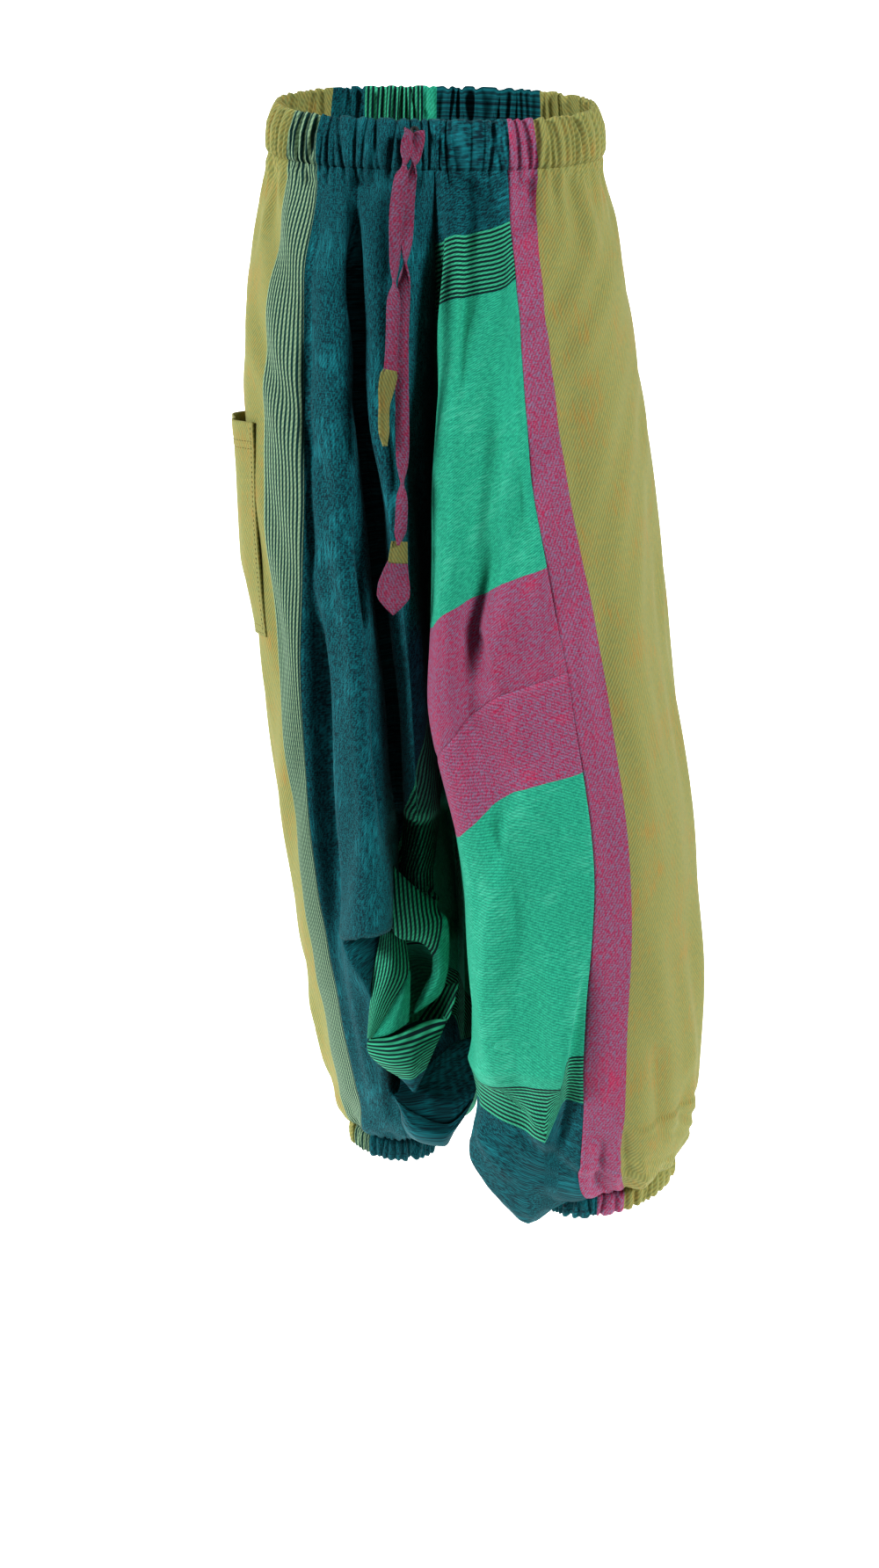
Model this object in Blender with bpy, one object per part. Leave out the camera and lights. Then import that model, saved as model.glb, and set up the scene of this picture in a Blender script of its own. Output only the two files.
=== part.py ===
"""Harem pants with a very low crotch, standing hollow as when worn.

Metres, +Z up, the front faces -Y and the wearer's left is +X. The origin is the
middle of the waist opening, half way up the waist casing. Each leg is a wall on
cross-sections: a table of creases across the front, ring angles round the side
and the back, and a seam line in the middle. Panels are ranges of those creases.
"""

import bpy
import bmesh
import numpy as np
from functools import lru_cache
from math import radians

WALL = 0.002
MITRE_LIMIT = 0.5            # keeps the wall's corner short where two edges meet sharply
SEAM_GAP = 0.0003
SEAM_SHARE = 1.1             # of the gap, taken from each panel's edge; flat facets use up some
CM = 0.01
MM = 0.001

# Waist casing and cuffs
CASING_LOW, CASING_HIGH = -0.0142, 0.0225
CASING_MIDDLE, CASING_GAP = 0.0085, 0.0005
CASING_WALL = 0.003
WAIST_SIDE, WAIST_FRONT, WAIST_BACK = 0.1305, 0.1025, 0.0995
CASING_LEAN = 0.007          # how much narrower the casing's top is
GATHERS, GATHER_DEPTH = 44, 0.0022
CUFF_HEIGHT, CUFF_WALL, CUFF_GATHERS, CUFF_GATHER_DEPTH = 0.0185, 0.003, 18, 0.0016
BUTTONHOLE, BUTTONHOLE_CUT = (-0.0153, -WAIST_FRONT, -0.0066), (0.013, 0.03, 0.0045)
SQUARENESS = 2.25            # exponent of the rings, 2 is an ellipse
WAIST_DIP = 0.18             # the waist slopes down to the front by this
DIP_REACH = 0.15
CUFF_TILT = {-1: -0.12, 1: 0.30}
TILT_REACH = 0.09

CROTCH = -0.79
HALF_ROWS = 9                # rows of points above the cross cut, and as many below it
RIGHT, LEFT = -1, 1          # the wearer's right is -X
# Heights of the columns below: waist, hip, seat, thigh, knee, calf, shin, hem
LEVELS = {
    RIGHT: (-0.017, -0.12, -0.26, -0.42, -0.58, -0.72, -0.80, -0.867),
    LEFT: (-0.017, -0.12, -0.26, -0.42, -0.58, -0.72, -0.812, -0.846),
}

# Ring of each leg, cm, one column a height
RINGS = {
    RIGHT: {
        "centre x": (0.0, -0.8, -2.2, -3.0, -2.8, -2.2, -1.8, -2.8),
        "centre y": (0.0, 0.0, 0.4, 1.2, 2.6, 5.0, 6.2, 7.0),
        "half width": (13.1, 14.2, 13.0, 11.2, 9.6, 8.1, 6.9, 3.8),
        "front": (10.3, 11.8, 12.8, 12.6, 12.0, 10.0, 7.4, 3.8),
        "back": (10.0, 12.2, 13.0, 12.6, 11.8, 9.2, 7.2, 3.8),
        "opens": (90, 98, 108, 118, 134, 156, 172, 176),
    },
    LEFT: {
        "centre x": (0.0, 1.2, 4.0, 6.6, 9.6, 12.2, 13.3, 16.0),
        "centre y": (0.0, -0.2, -0.8, -1.6, -2.6, -4.0, -5.2, -6.0),
        "half width": (13.1, 14.15, 13.75, 13.25, 12.85, 11.2, 9.2, 5.3),
        "front": (10.3, 11.9, 13.1, 13.4, 13.3, 11.6, 9.2, 5.3),
        "back": (10.0, 12.2, 12.6, 12.0, 11.2, 9.6, 8.0, 5.3),
        "opens": (90, 98, 110, 120, 128, 130, 125, 172),
    },
}

# Creases across each front, from the middle out: name, x in cm, y in cm, one column a height
FRONT_CREASES = {
    RIGHT: (
        ("middle fold", (-0.3, -0.3, -0.4, 0.3, 1.6, 3.2, 4.2, 0.8),
         (-10.1, -8.8, -6.2, -4.5, -2.5, -0.8, 1.6, 5.8)),
        ("second ridge inner", (-2.1, -2.5, -2.1, -0.6, 0.4, 1.4, 2.2, 0.3),
         (-10.2, -11.4, -11.6, -10.0, -7.0, -3.4, -0.2, 4.9)),
        ("second ridge", (-3.5, -3.5, -2.9, -1.4, -0.5, -0.4, 0.2, -0.3),
         (-10.1, -11.7, -12.6, -11.3, -8.1, -4.2, -1.0, 4.2)),
        ("second ridge outer", (-5.2, -5.0, -3.9, -2.2, -1.4, -1.6, -1.4, -0.9),
         (-9.7, -11.0, -11.7, -10.2, -6.9, -3.9, -1.1, 3.75)),
        ("deep gap", (-5.9, -5.6, -5.0, -3.2, -2.3, -2.4, -2.2, -1.5),
         (-9.4, -9.6, -9.0, -7.0, -5.4, -3.5, -1.1, 3.45)),
        ("first ridge inner", (-6.5, -6.4, -5.8, -4.2, -3.2, -3.2, -2.9, -2.2),
         (-9.3, -10.8, -11.7, -11.0, -9.0, -4.8, -1.3, 3.25)),
        ("first ridge", (-7.3, -7.8, -7.3, -5.9, -5.0, -4.4, -3.8, -2.9),
         (-9.0, -10.9, -12.3, -12.1, -10.2, -5.4, -1.2, 3.2)),
        ("first ridge outer", (-7.9, -8.9, -8.5, -7.6, -7.0, -5.7, -4.7, -3.7),
         (-8.75, -10.1, -11.0, -10.4, -8.1, -4.5, -0.8, 3.35)),
        ("side groove", (-8.3, -9.3, -9.1, -8.7, -8.0, -6.4, -5.2, -4.3),
         (-8.5, -9.6, -10.2, -8.8, -6.6, -3.4, -0.4, 3.55)),
        ("lined stripe inner", (-8.8, -9.8, -9.7, -10.1, -9.2, -7.1, -5.9, -4.9),
         (-8.25, -9.6, -10.5, -8.8, -6.6, -3.2, 0.0, 3.9)),
        ("lined stripe middle", (-10.0, -11.3, -11.4, -11.1, -9.9, -8.0, -6.8, -5.6),
         (-7.3, -8.7, -9.4, -8.2, -6.0, -2.6, 0.7, 4.6)),
        ("lined stripe outer", (-11.2, -12.6, -13.0, -12.0, -10.6, -8.9, -7.6, -6.2),
         (-6.0, -7.3, -7.3, -6.6, -4.9, -1.4, 1.8, 5.6)),
    ),
    LEFT: (
        ("middle flank", (0.3, 0.6, 0.6, 0.8, 2.9, 4.2, 4.9, 10.8),
         (-10.1, -9.3, -7.5, -7.0, -7.0, -6.0, -1.5, -7.0)),
        ("fold edge", (0.6, 0.8, 0.3, 0.2, 3.6, 4.3, 4.8, 11.1),
         (-10.2, -11.3, -12.6, -13.0, -13.6, -12.0, -7.0, -8.0)),
        ("edge roll", (1.3, 1.8, 1.4, 1.5, 5.0, 5.6, 6.1, 11.7),
         (-10.3, -12.1, -13.8, -14.3, -15.0, -13.8, -10.6, -9.1)),
        ("soft valley", (3.6, 4.6, 3.9, 3.4, 7.0, 7.6, 8.3, 12.6),
         (-10.1, -11.4, -13.1, -13.8, -14.8, -14.3, -12.6, -10.1)),
        ("front ridge", (4.6, 5.6, 5.6, 5.6, 9.1, 10.4, 10.3, 13.5),
         (-9.9, -11.7, -13.9, -15.0, -16.1, -16.0, -14.2, -10.7)),
        ("strip inner", (5.5, 6.4, 7.7, 11.0, 13.2, 12.8, 12.8, 14.6),
         (-9.7, -11.6, -13.6, -14.5, -15.6, -15.6, -14.0, -11.1)),
        ("strip outer", (7.7, 8.3, 10.4, 13.9, 16.1, 16.2, 16.2, 16.8),
         (-8.8, -10.9, -12.8, -13.4, -14.8, -15.3, -14.0, -11.3)),
        ("olive ridge", (9.8, 11.5, 13.6, 16.5, 18.6, 18.7, 19.2, 18.9),
         (-7.5, -9.0, -10.8, -11.6, -13.0, -13.7, -12.6, -10.5)),
    ),
}

# Creases round the side and the back: name, share of the ring's opening, sink in mm at four heights
SINK_HEIGHTS = (-0.03, -0.26, -0.58, -0.85)
ROUND_CREASES = {
    RIGHT: (
        ("olive fold", -0.22, (0, 1, 0, 0)),
        ("side trough", -0.07, (0, 6, 1, 0)),
        ("side", 0.08, (0, -1, 0, 0)),
        ("side back", 0.21, (0, 1, 0, 0)),
        ("back trough 1", 0.33, (2, 8, 9, 0)),
        ("back ridge 1", 0.44, (0, -3, -4, 0)),
        ("back trough 2", 0.55, (2, 11, 13, 0)),
        ("back ridge 2", 0.66, (0, -3, -5, 0)),
        ("back trough 3", 0.77, (2, 13, 15, 0)),
        ("back ridge 3", 0.88, (0, -2, -4, 0)),
    ),
    LEFT: (
        ("olive groove", -0.28, (0, 3, 3, 2)),
        ("olive fold", -0.10, (0, 0, -1, 0)),
        ("side", 0.08, (0, 0, 0, 0)),
        ("side back", 0.21, (0, 3, 2, 0)),
        ("back trough 1", 0.33, (2, -2, -3, 0)),
        ("back ridge 1", 0.43, (0, 9, 12, 0)),
        ("back trough 2", 0.55, (2, -3, -5, 0)),
        ("back ridge 2", 0.66, (0, 12, 14, 0)),
        ("back trough 3", 0.78, (2, -3, -4, 0)),
        ("back ridge 3", 0.89, (0, 10, 12, 0)),
    ),
}

# Where the panels meet: the side panel's first crease, the back panel's first crease, and the
# height of the left front's cross seam at the middle and at the side panel
SIDE_STARTS = {RIGHT: "deep gap", LEFT: "strip inner"}
BACK_STARTS = "back trough 2"
CROSS_CUT = {RIGHT: (-0.44, -0.44), LEFT: (-0.505, -0.401)}
PLACES_A_CREASE = 2

# The middle seam down to the crotch, and each inseam below it, cm
MIDDLE_SEAM = {
    "level": (-0.017, -0.12, -0.26, -0.42, -0.58, -0.72, CROTCH),
    "x": (0.0, 0.2, 0.6, 1.4, 2.8, 4.3, 4.9),
    "front": (-10.0, -7.5, -3.0, -0.8, 0.4, 1.8, 2.95),
    "back": (9.8, 10.6, 9.6, 7.8, 5.8, 4.4, 3.45),
}
INSEAMS = {
    RIGHT: {"level": (CROTCH - 0.008, -0.838, -0.867), "x": (4.9, 4.3, 1.0), "y": (3.2, 4.6, 7.0)},
    LEFT: {"level": (CROTCH - 0.008, -0.825, -0.846), "x": (4.9, 5.6, 10.7), "y": (3.2, 0.0, -6.0)},
}

# Patch pocket on the wearer's right side
POCKET_HIGH, POCKET_LOW = -0.222, -0.392
POCKET_FRONT, POCKET_BACK = "lined stripe outer", "side back"
POCKET_REST, POCKET_STAND, POCKET_MOUTH = 0.0009, 0.0072, 0.0016

# Ties: x, y, z in cm down each route, then the width of the pieces on them
TIE_WIDTH, TIE_THICK = 0.0095, 0.0014
SHORT_TIE = (
    (-1.85, -10.85, -0.6), (-2.05, -11.4, -1.2), (-2.4, -12.1, -2.6), (-2.7, -12.75, -4.5),
    (-2.8, -13.2, -6.8), (-2.85, -13.55, -9.5), (-2.9, -13.8, -12.5), (-2.95, -13.95, -15.5),
    (-3.1, -14.0, -18.0),
)
LONG_TIE = (
    (-1.2, -10.6, -0.6), (-1.1, -11.0, -1.2), (-1.2, -11.6, -2.6), (-1.55, -12.2, -4.6),
    (-1.85, -12.7, -7.0), (-2.05, -13.1, -10.0), (-2.15, -13.35, -13.0), (-2.2, -13.5, -17.0),
    (-2.15, -13.6, -21.0), (-2.1, -13.6, -25.0), (-2.15, -13.5, -28.5), (-2.3, -13.35, -30.6),
)
SHORT_TIP_LENGTH, SHORT_TIP_WIDTH = 0.052, 0.012
BAND_LENGTH, LEAF_LENGTH, LEAF_WIDTH, TIP_THICK = 0.015, 0.040, 0.025, 0.003


def along(keys, values, at):
    """Smooth value at a place between keys that rise or fall, without overshoot."""
    keys = np.asarray(keys, float)
    values = np.asarray(values, float)
    if keys[0] > keys[-1]:
        keys, at = -keys, -at
    steps = np.diff(keys)
    slopes = np.diff(values) / steps
    inner = np.where(slopes[:-1] * slopes[1:] > 0, (slopes[:-1] + slopes[1:]) / 2, 0.0)
    tangents = np.concatenate([[slopes[0]], inner, [slopes[-1]]])
    i = int(np.clip(np.searchsorted(keys, at) - 1, 0, len(steps) - 1))
    h = steps[i]
    t = min(max((at - keys[i]) / h, 0.0), 1.0)
    return (
        (2 * t**3 - 3 * t**2 + 1) * values[i]
        + (t**3 - 2 * t**2 + t) * h * tangents[i]
        + (3 * t**2 - 2 * t**3) * values[i + 1]
        + (t**3 - t**2) * h * tangents[i + 1]
    )


def ring_point(side, degrees, sink, level):
    """Point of the leg's plain ring: 0 degrees is straight out, 90 is the back."""
    sizes = {name: along(LEVELS[side], RINGS[side][name], level) * CM for name in RINGS[side]}
    turn = radians(degrees)
    c, s = np.cos(turn), np.sin(turn)
    power = 2 / SQUARENESS
    depth = sizes["front"] if s < 0 else sizes["back"]
    x = (sizes["half width"] - sink) * np.sign(c) * abs(c) ** power
    y = (depth - sink) * np.sign(s) * abs(s) ** power
    return sizes["centre x"] + side * x, sizes["centre y"] + y


def seam_point(side, level, where):
    """End of a section: on the middle seam above the crotch, on the inseam below it."""
    half = SEAM_GAP / 2
    if level >= CROTCH:
        x = along(MIDDLE_SEAM["level"], MIDDLE_SEAM["x"], level) * CM
        y = along(MIDDLE_SEAM["level"], MIDDLE_SEAM[where], level) * CM
        return x + side * SEAM_GAP, y
    seam = INSEAMS[side]
    sign = -1 if where == "front" else 1
    fade = min(1.0, (CROTCH - level) / 0.008)
    x = along(seam["level"], seam["x"], level) * CM + side * SEAM_GAP
    y = along(seam["level"], seam["y"], level) * CM
    at_crotch = MIDDLE_SEAM[where][-1] * CM
    return x, at_crotch * (1 - fade) + (y + sign * half) * fade


@lru_cache(maxsize=None)
def section(side, level):
    """The crease points of one leg at a height, from the front seam round to the back seam."""
    points = [seam_point(side, level, "front")]
    for _, xs, ys in FRONT_CREASES[side]:
        points.append((along(LEVELS[side], xs, level) * CM, along(LEVELS[side], ys, level) * CM))
    opens = along(LEVELS[side], RINGS[side]["opens"], level)
    for _, share, sinks in ROUND_CREASES[side]:
        degrees = share * (opens if share > 0 else 90)
        sink = along(SINK_HEIGHTS, sinks, level) * MM
        points.append(ring_point(side, degrees, sink, level))
    points.append(seam_point(side, level, "back"))
    return np.array(points)


def crease_number(side, name):
    names = [row[0] for row in FRONT_CREASES[side]] + [row[0] for row in ROUND_CREASES[side]]
    return 1 + names.index(name)


def last_crease(side):
    return 1 + len(FRONT_CREASES[side]) + len(ROUND_CREASES[side])


def slope(side, x, y, level):
    """How far the waist's dip and the cuff's tilt lift a point."""
    dip = WAIST_DIP * y * min(1.0, max(0.0, (level + DIP_REACH) / (CASING_LOW + DIP_REACH)))
    hem = LEVELS[side][-1]
    share = max(0.0, 1 - (level - hem) / TILT_REACH)
    return dip + CUFF_TILT[side] * min(share, 1.0) * (x - RINGS[side]["centre x"][-1] * CM)


def surface(side, place, level):
    """Point of the cloth's outer face at a place between creases, on a curve through them."""
    points = section(side, level)
    points = np.vstack([2 * points[0] - points[1], points, 2 * points[-1] - points[-2]])
    i = int(np.clip(np.floor(place), 0, len(points) - 4))
    t = place - i
    a, b, c, d = points[i : i + 4]
    spans = [max(np.linalg.norm(q - p), 1e-6) ** 0.5 for p, q in ((a, b), (b, c), (c, d))]
    t0, t1, t2, t3 = np.cumsum([0.0] + spans)
    u = t1 + t * (t2 - t1)
    ab = (t1 - u) / (t1 - t0) * a + (u - t0) / (t1 - t0) * b
    bc = (t2 - u) / (t2 - t1) * b + (u - t1) / (t2 - t1) * c
    cd = (t3 - u) / (t3 - t2) * c + (u - t2) / (t3 - t2) * d
    abc = (t2 - u) / (t2 - t0) * ab + (u - t0) / (t2 - t0) * bc
    bcd = (t3 - u) / (t3 - t1) * bc + (u - t1) / (t3 - t1) * cd
    x, y = (t2 - u) / (t2 - t1) * abc + (u - t1) / (t2 - t1) * bcd
    return np.array((x, y, level + slope(side, x, y, level)))


def outward(side, place, level):
    """Unit normal of the cloth, away from the inside of the leg."""
    step, drop = 0.02, 0.002
    last = last_crease(side)
    across = surface(side, min(place + step, last), level) - surface(side, max(place - step, 0), level)
    up = surface(side, place, level + drop) - surface(side, place, level - drop)
    normal = np.cross(up, across) if side == RIGHT else np.cross(across, up)
    return normal / np.linalg.norm(normal)


def wall_step(side, place, level):
    """From the cloth's outer face to its inner one; mitred where a leg's two edges meet."""
    normal = outward(side, place, level)
    last = last_crease(side)
    if level > CROTCH or 0.25 < place < last - 0.25:
        return -WALL * normal
    between = normal + outward(side, last - place, level)
    between = between / np.linalg.norm(between)
    return -WALL * between / max(MITRE_LIMIT, float(between @ normal))


def seam_shift(side, place, level, toward):
    """A panel's share of the seam gap, as a share of the way to the next crease."""
    points = section(side, level)
    i = int(place)
    chord = np.linalg.norm(points[i + toward] - points[i])
    return toward * SEAM_SHARE * SEAM_GAP / chord


def add_node(name, mesh_build, material, collection):
    """Makes the mesh's object, in the parts' collection, shaded smooth."""
    mesh = bpy.data.meshes.new(name)
    mesh_build.normal_update()
    mesh_build.to_mesh(mesh)
    mesh_build.free()
    mesh.shade_smooth()
    mesh.materials.append(material)
    node = bpy.data.objects.new(name, mesh)
    collection.objects.link(node)
    return node


def closed_wall(outer, inner, ring=False, flip=False):
    """A wall between two grids of points; ring joins its last column to its first."""
    build = bmesh.new()
    rows, columns = len(outer), len(outer[0])
    faces = [[[build.verts.new(point) for point in row] for row in grid] for grid in (outer, inner)]
    out, back = faces
    steps = columns if ring else columns - 1

    def quad(*corners):
        build.faces.new(corners if not flip else corners[::-1])

    for j in range(rows - 1):
        for i in range(steps):
            k = (i + 1) % columns
            quad(out[j][i], out[j][k], out[j + 1][k], out[j + 1][i])
            quad(back[j][i], back[j + 1][i], back[j + 1][k], back[j][k])
    for i in range(steps):
        k = (i + 1) % columns
        quad(out[0][k], out[0][i], back[0][i], back[0][k])
        quad(out[-1][i], out[-1][k], back[-1][k], back[-1][i])
    if not ring:
        for j in range(rows - 1):
            quad(out[j][0], out[j + 1][0], back[j + 1][0], back[j][0])
            quad(out[j + 1][-1], out[j][-1], back[j][-1], back[j + 1][-1])
    bmesh.ops.recalc_face_normals(build, faces=build.faces)
    return build


def row_level(side, place, row):
    """Height of a row of points, even down to the cross cut and even below it."""
    high, hem = CASING_LOW - CASING_GAP, LEVELS[side][-1]
    from_seam, to_seam = crease_number(side, SIDE_STARTS[side]), crease_number(side, BACK_STARTS)
    share = min(1.0, place / from_seam, (last_crease(side) - place) / (last_crease(side) - to_seam))
    cut = CROSS_CUT[side][0] + (CROSS_CUT[side][1] - CROSS_CUT[side][0]) * share
    if row <= HALF_ROWS:
        return high + (cut - high) * row / HALF_ROWS
    return cut + (hem - cut) * (row - HALF_ROWS) / HALF_ROWS


def places_between(start, end, each):
    """Places from start to end, with every crease and each-1 places between creases."""
    whole = [p for p in np.arange(np.ceil(start) * each, np.floor(end) * each + 1) / each]
    inside = [p for p in whole if start + 0.05 < p < end - 0.05]
    return [start] + inside + [end]


def panel(name, side, start, end, rows, material, collection):
    """A cut piece of cloth from crease start to crease end, and from the first row to the last."""
    top, bottom = rows
    whole = places_between(start, end, PLACES_A_CREASE)
    outer, inner = [], []
    for row in range(top, bottom + 1):
        outer_row, inner_row = [], []
        gap = SEAM_GAP if row == HALF_ROWS else 0.0
        shift = gap * ((row == bottom) - (row == top))
        for place in whole:
            level = row_level(side, place, row) + shift
            if place == start:
                place += seam_shift(side, place, level, 1)
            if place == end:
                place += seam_shift(side, place, level, -1)
            point = surface(side, place, level)
            outer_row.append(point)
            inner_row.append(point + wall_step(side, place, level))
        outer.append(outer_row)
        inner.append(inner_row)
    return add_node(name, closed_wall(outer, inner), material, collection)


def gathered_band(name, centre, radii, levels, wall, gathers, depth, tilt, material, collection):
    """An elastic casing: a ring whose wall goes in and out with the gathers."""
    columns = gathers * 2
    outer, inner = [], []
    for level, lean in levels:
        outer_row, inner_row = [], []
        for i in range(columns):
            turn = 2 * np.pi * i / columns
            c, s = np.cos(turn), np.sin(turn)
            side_reach, front_reach, back_reach = radii
            reach = (front_reach if s < 0 else back_reach) - lean
            inset = depth if i % 2 else 0.0
            power = 2 / SQUARENESS
            across = np.sign(c) * abs(c) ** power
            deep = np.sign(s) * abs(s) ** power
            for row, cut in ((outer_row, inset), (inner_row, wall + inset)):
                x = centre[0] + (side_reach - lean - cut) * across
                y = centre[1] + (reach - cut) * deep
                row.append((x, y, level + tilt[0] * (x - centre[0]) + tilt[1] * y))
        outer.append(outer_row)
        inner.append(inner_row)
    return add_node(name, closed_wall(outer, inner, ring=True), material, collection)


def pocket(material, collection):
    """The patch pocket: points of the side panel, moved out, with its mouth standing open."""
    first = crease_number(RIGHT, POCKET_FRONT) + 0.25
    last = crease_number(RIGHT, POCKET_BACK) + 0.3
    rows, columns = 8, 9
    outer, inner = [], []
    for j in range(rows + 1):
        down = j / rows
        outer_row, inner_row = [], []
        for i in range(columns + 1):
            across = i / columns
            place = first + (last - first) * across
            level = POCKET_HIGH + (POCKET_LOW - POCKET_HIGH) * down
            bulge = min(1.0, 3.0 * min(across, 1 - across)) * min(1.0, 3.0 * (1 - down))
            bulge = bulge * bulge * (3 - 2 * bulge)
            lift = POCKET_REST + POCKET_STAND * bulge + POCKET_MOUTH * bulge * (1 - down)
            normal = outward(RIGHT, place, level)
            point = surface(RIGHT, place, level)
            inner_row.append(point + lift * normal)
            outer_row.append(point + (lift + WALL) * normal)
        outer.append(outer_row)
        inner.append(inner_row)
    return add_node("patch_pocket", closed_wall(outer, inner), material, collection)


def route(points_cm, start, end, count):
    """Points along a smooth curve through a route, between two shares of its points."""
    points = np.array(points_cm) * CM
    numbers = np.arange(len(points))
    return np.array([
        [along(numbers, points[:, axis], at) for axis in range(3)]
        for at in np.linspace(start, end, count)
    ])


def strip(name, centre, widths, thick, material, collection):
    """A flat strip down a route, its face to the front, as wide at each point as widths says."""
    outer, inner = [], []
    for i, point in enumerate(centre):
        ahead = centre[min(i + 1, len(centre) - 1)] - centre[max(i - 1, 0)]
        ahead = ahead / np.linalg.norm(ahead)
        across = np.cross(ahead, (0.0, -1.0, 0.0))
        across = across / np.linalg.norm(across)
        front = np.cross(across, ahead)
        left, right = point - across * widths[i] / 2, point + across * widths[i] / 2
        outer.append([left + front * thick / 2, right + front * thick / 2])
        inner.append([left - front * thick / 2, right - front * thick / 2])
    return add_node(name, closed_wall(outer, inner), material, collection)


def tip_points(points_cm, gap, length, count):
    """The straight line on which a tip hangs below its tie."""
    end = np.array(points_cm[-1]) * CM
    before = np.array(points_cm[-2]) * CM
    ahead = (end - before) / np.linalg.norm(end - before)
    return [end + ahead * (gap + length * i / (count - 1)) for i in range(count)]


def cloth(name, colour):
    """Handloom cotton in one of the pieces' main colours."""
    material = bpy.data.materials.new(name)
    material.use_nodes = True
    shader = material.node_tree.nodes["Principled BSDF"]
    shader.inputs["Base Color"].default_value = (*colour, 1.0)
    shader.inputs["Roughness"].default_value = 0.9
    shader.inputs["Metallic"].default_value = 0.0
    return material


def build_legs(cloths, collection):
    """Each leg's panels: front, side and back, the left front in two with a cross seam."""
    whole = (0, 2 * HALF_ROWS)
    above, below = (0, HALF_ROWS), (HALF_ROWS, 2 * HALF_ROWS)
    fronts = {
        RIGHT: (("right_front_panel", whole, "teal"),),
        LEFT: (("left_front_upper", above, "green"), ("left_front_lower", below, "green")),
    }
    backs = {RIGHT: ("right_back_panel", "teal"), LEFT: ("left_back_panel", "green")}
    sides = {RIGHT: "right_side_panel", LEFT: "left_side_panel"}
    for side in (RIGHT, LEFT):
        side_start = crease_number(side, SIDE_STARTS[side])
        back_start = crease_number(side, BACK_STARTS)
        for name, rows, colour in fronts[side]:
            panel(name, side, 0, side_start, rows, cloths[colour], collection)
        panel(sides[side], side, side_start, back_start, whole, cloths["olive"], collection)
        name, colour = backs[side]
        panel(name, side, back_start, last_crease(side), whole, cloths[colour], collection)


def build_casings(cloths, collection):
    levels = ((CASING_HIGH, CASING_LEAN), (CASING_MIDDLE, 0.002), (CASING_LOW, 0.0))
    gathered_band("waist_casing", (0.0, 0.0), (WAIST_SIDE, WAIST_FRONT, WAIST_BACK), levels,
                  CASING_WALL, GATHERS, GATHER_DEPTH, (0.0, WAIST_DIP), cloths["teal"], collection)
    for name, side in (("right_cuff", RIGHT), ("left_cuff", LEFT)):
        rings = RINGS[side]
        centre = (rings["centre x"][-1] * CM, rings["centre y"][-1] * CM)
        reach = rings["half width"][-1] * CM
        high = LEVELS[side][-1] - SEAM_GAP
        levels = ((high, 0.0), (high - CUFF_HEIGHT / 2, 0.0012), (high - CUFF_HEIGHT, 0.0))
        gathered_band(name, centre, (reach, reach, reach), levels, CUFF_WALL, CUFF_GATHERS,
                      CUFF_GATHER_DEPTH, (CUFF_TILT[side], 0.0), cloths["teal"], collection)


def buttonhole(casing, collection):
    """The slot in the middle of the casing's front that the ties come out of."""
    bpy.ops.mesh.primitive_cube_add(size=1, location=BUTTONHOLE)
    cutter = bpy.context.object
    cutter.name = "buttonhole_cutter"
    cutter.scale = BUTTONHOLE_CUT
    for old in cutter.users_collection:
        old.objects.unlink(cutter)
    collection.objects.link(cutter)
    cutter.hide_render = True
    cutter.display_type = "WIRE"
    cut = casing.modifiers.new("Buttonhole", "BOOLEAN")
    cut.operation = "DIFFERENCE"
    cut.object = cutter


def build_ties(cloths, collection):
    centre = route(SHORT_TIE, 0, len(SHORT_TIE) - 1, 24)
    strip("tie_short", centre, [TIE_WIDTH] * len(centre), TIE_THICK, cloths["magenta"], collection)
    widths = [0.011, SHORT_TIP_WIDTH, SHORT_TIP_WIDTH, 0.009, 0.002]
    strip("tie_short_tip", tip_points(SHORT_TIE, SEAM_GAP, SHORT_TIP_LENGTH, 5), widths,
          TIP_THICK, cloths["olive"], collection)
    centre = route(LONG_TIE, 0, len(LONG_TIE) - 1, 32)
    strip("tie_long", centre, [TIE_WIDTH] * len(centre), TIE_THICK, cloths["magenta"], collection)
    strip("tie_long_band", tip_points(LONG_TIE, SEAM_GAP, BAND_LENGTH, 3), [0.010, 0.011, 0.012],
          TIP_THICK, cloths["olive"], collection)
    below = 2 * SEAM_GAP + BAND_LENGTH
    widths = [0.013, 0.020, LEAF_WIDTH, LEAF_WIDTH, 0.014, 0.002]
    strip("tie_long_leaf", tip_points(LONG_TIE, below, LEAF_LENGTH, 6), widths,
          TIP_THICK, cloths["magenta"], collection)


def main():
    for old in list(bpy.data.objects):
        bpy.data.objects.remove(old, do_unlink=True)
    parts = bpy.data.collections.new("harem_pants")
    cutters = bpy.data.collections.new("cutters")
    for collection in (parts, cutters):
        bpy.context.scene.collection.children.link(collection)
    cloths = {
        "teal": cloth("teal cotton", (0.006, 0.095, 0.105)),
        "olive": cloth("olive cotton", (0.40, 0.33, 0.09)),
        "green": cloth("green cotton", (0.027, 0.40, 0.22)),
        "magenta": cloth("magenta cotton", (0.30, 0.038, 0.10)),
    }
    build_casings(cloths, parts)
    buttonhole(bpy.data.objects["waist_casing"], cutters)
    build_legs(cloths, parts)
    pocket(cloths["olive"], parts)
    build_ties(cloths, parts)


main()
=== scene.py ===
from contextlib import contextmanager
from math import pi, radians

import bmesh
import bpy
import numpy as np
from mathutils import Euler, Matrix, Vector


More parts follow.
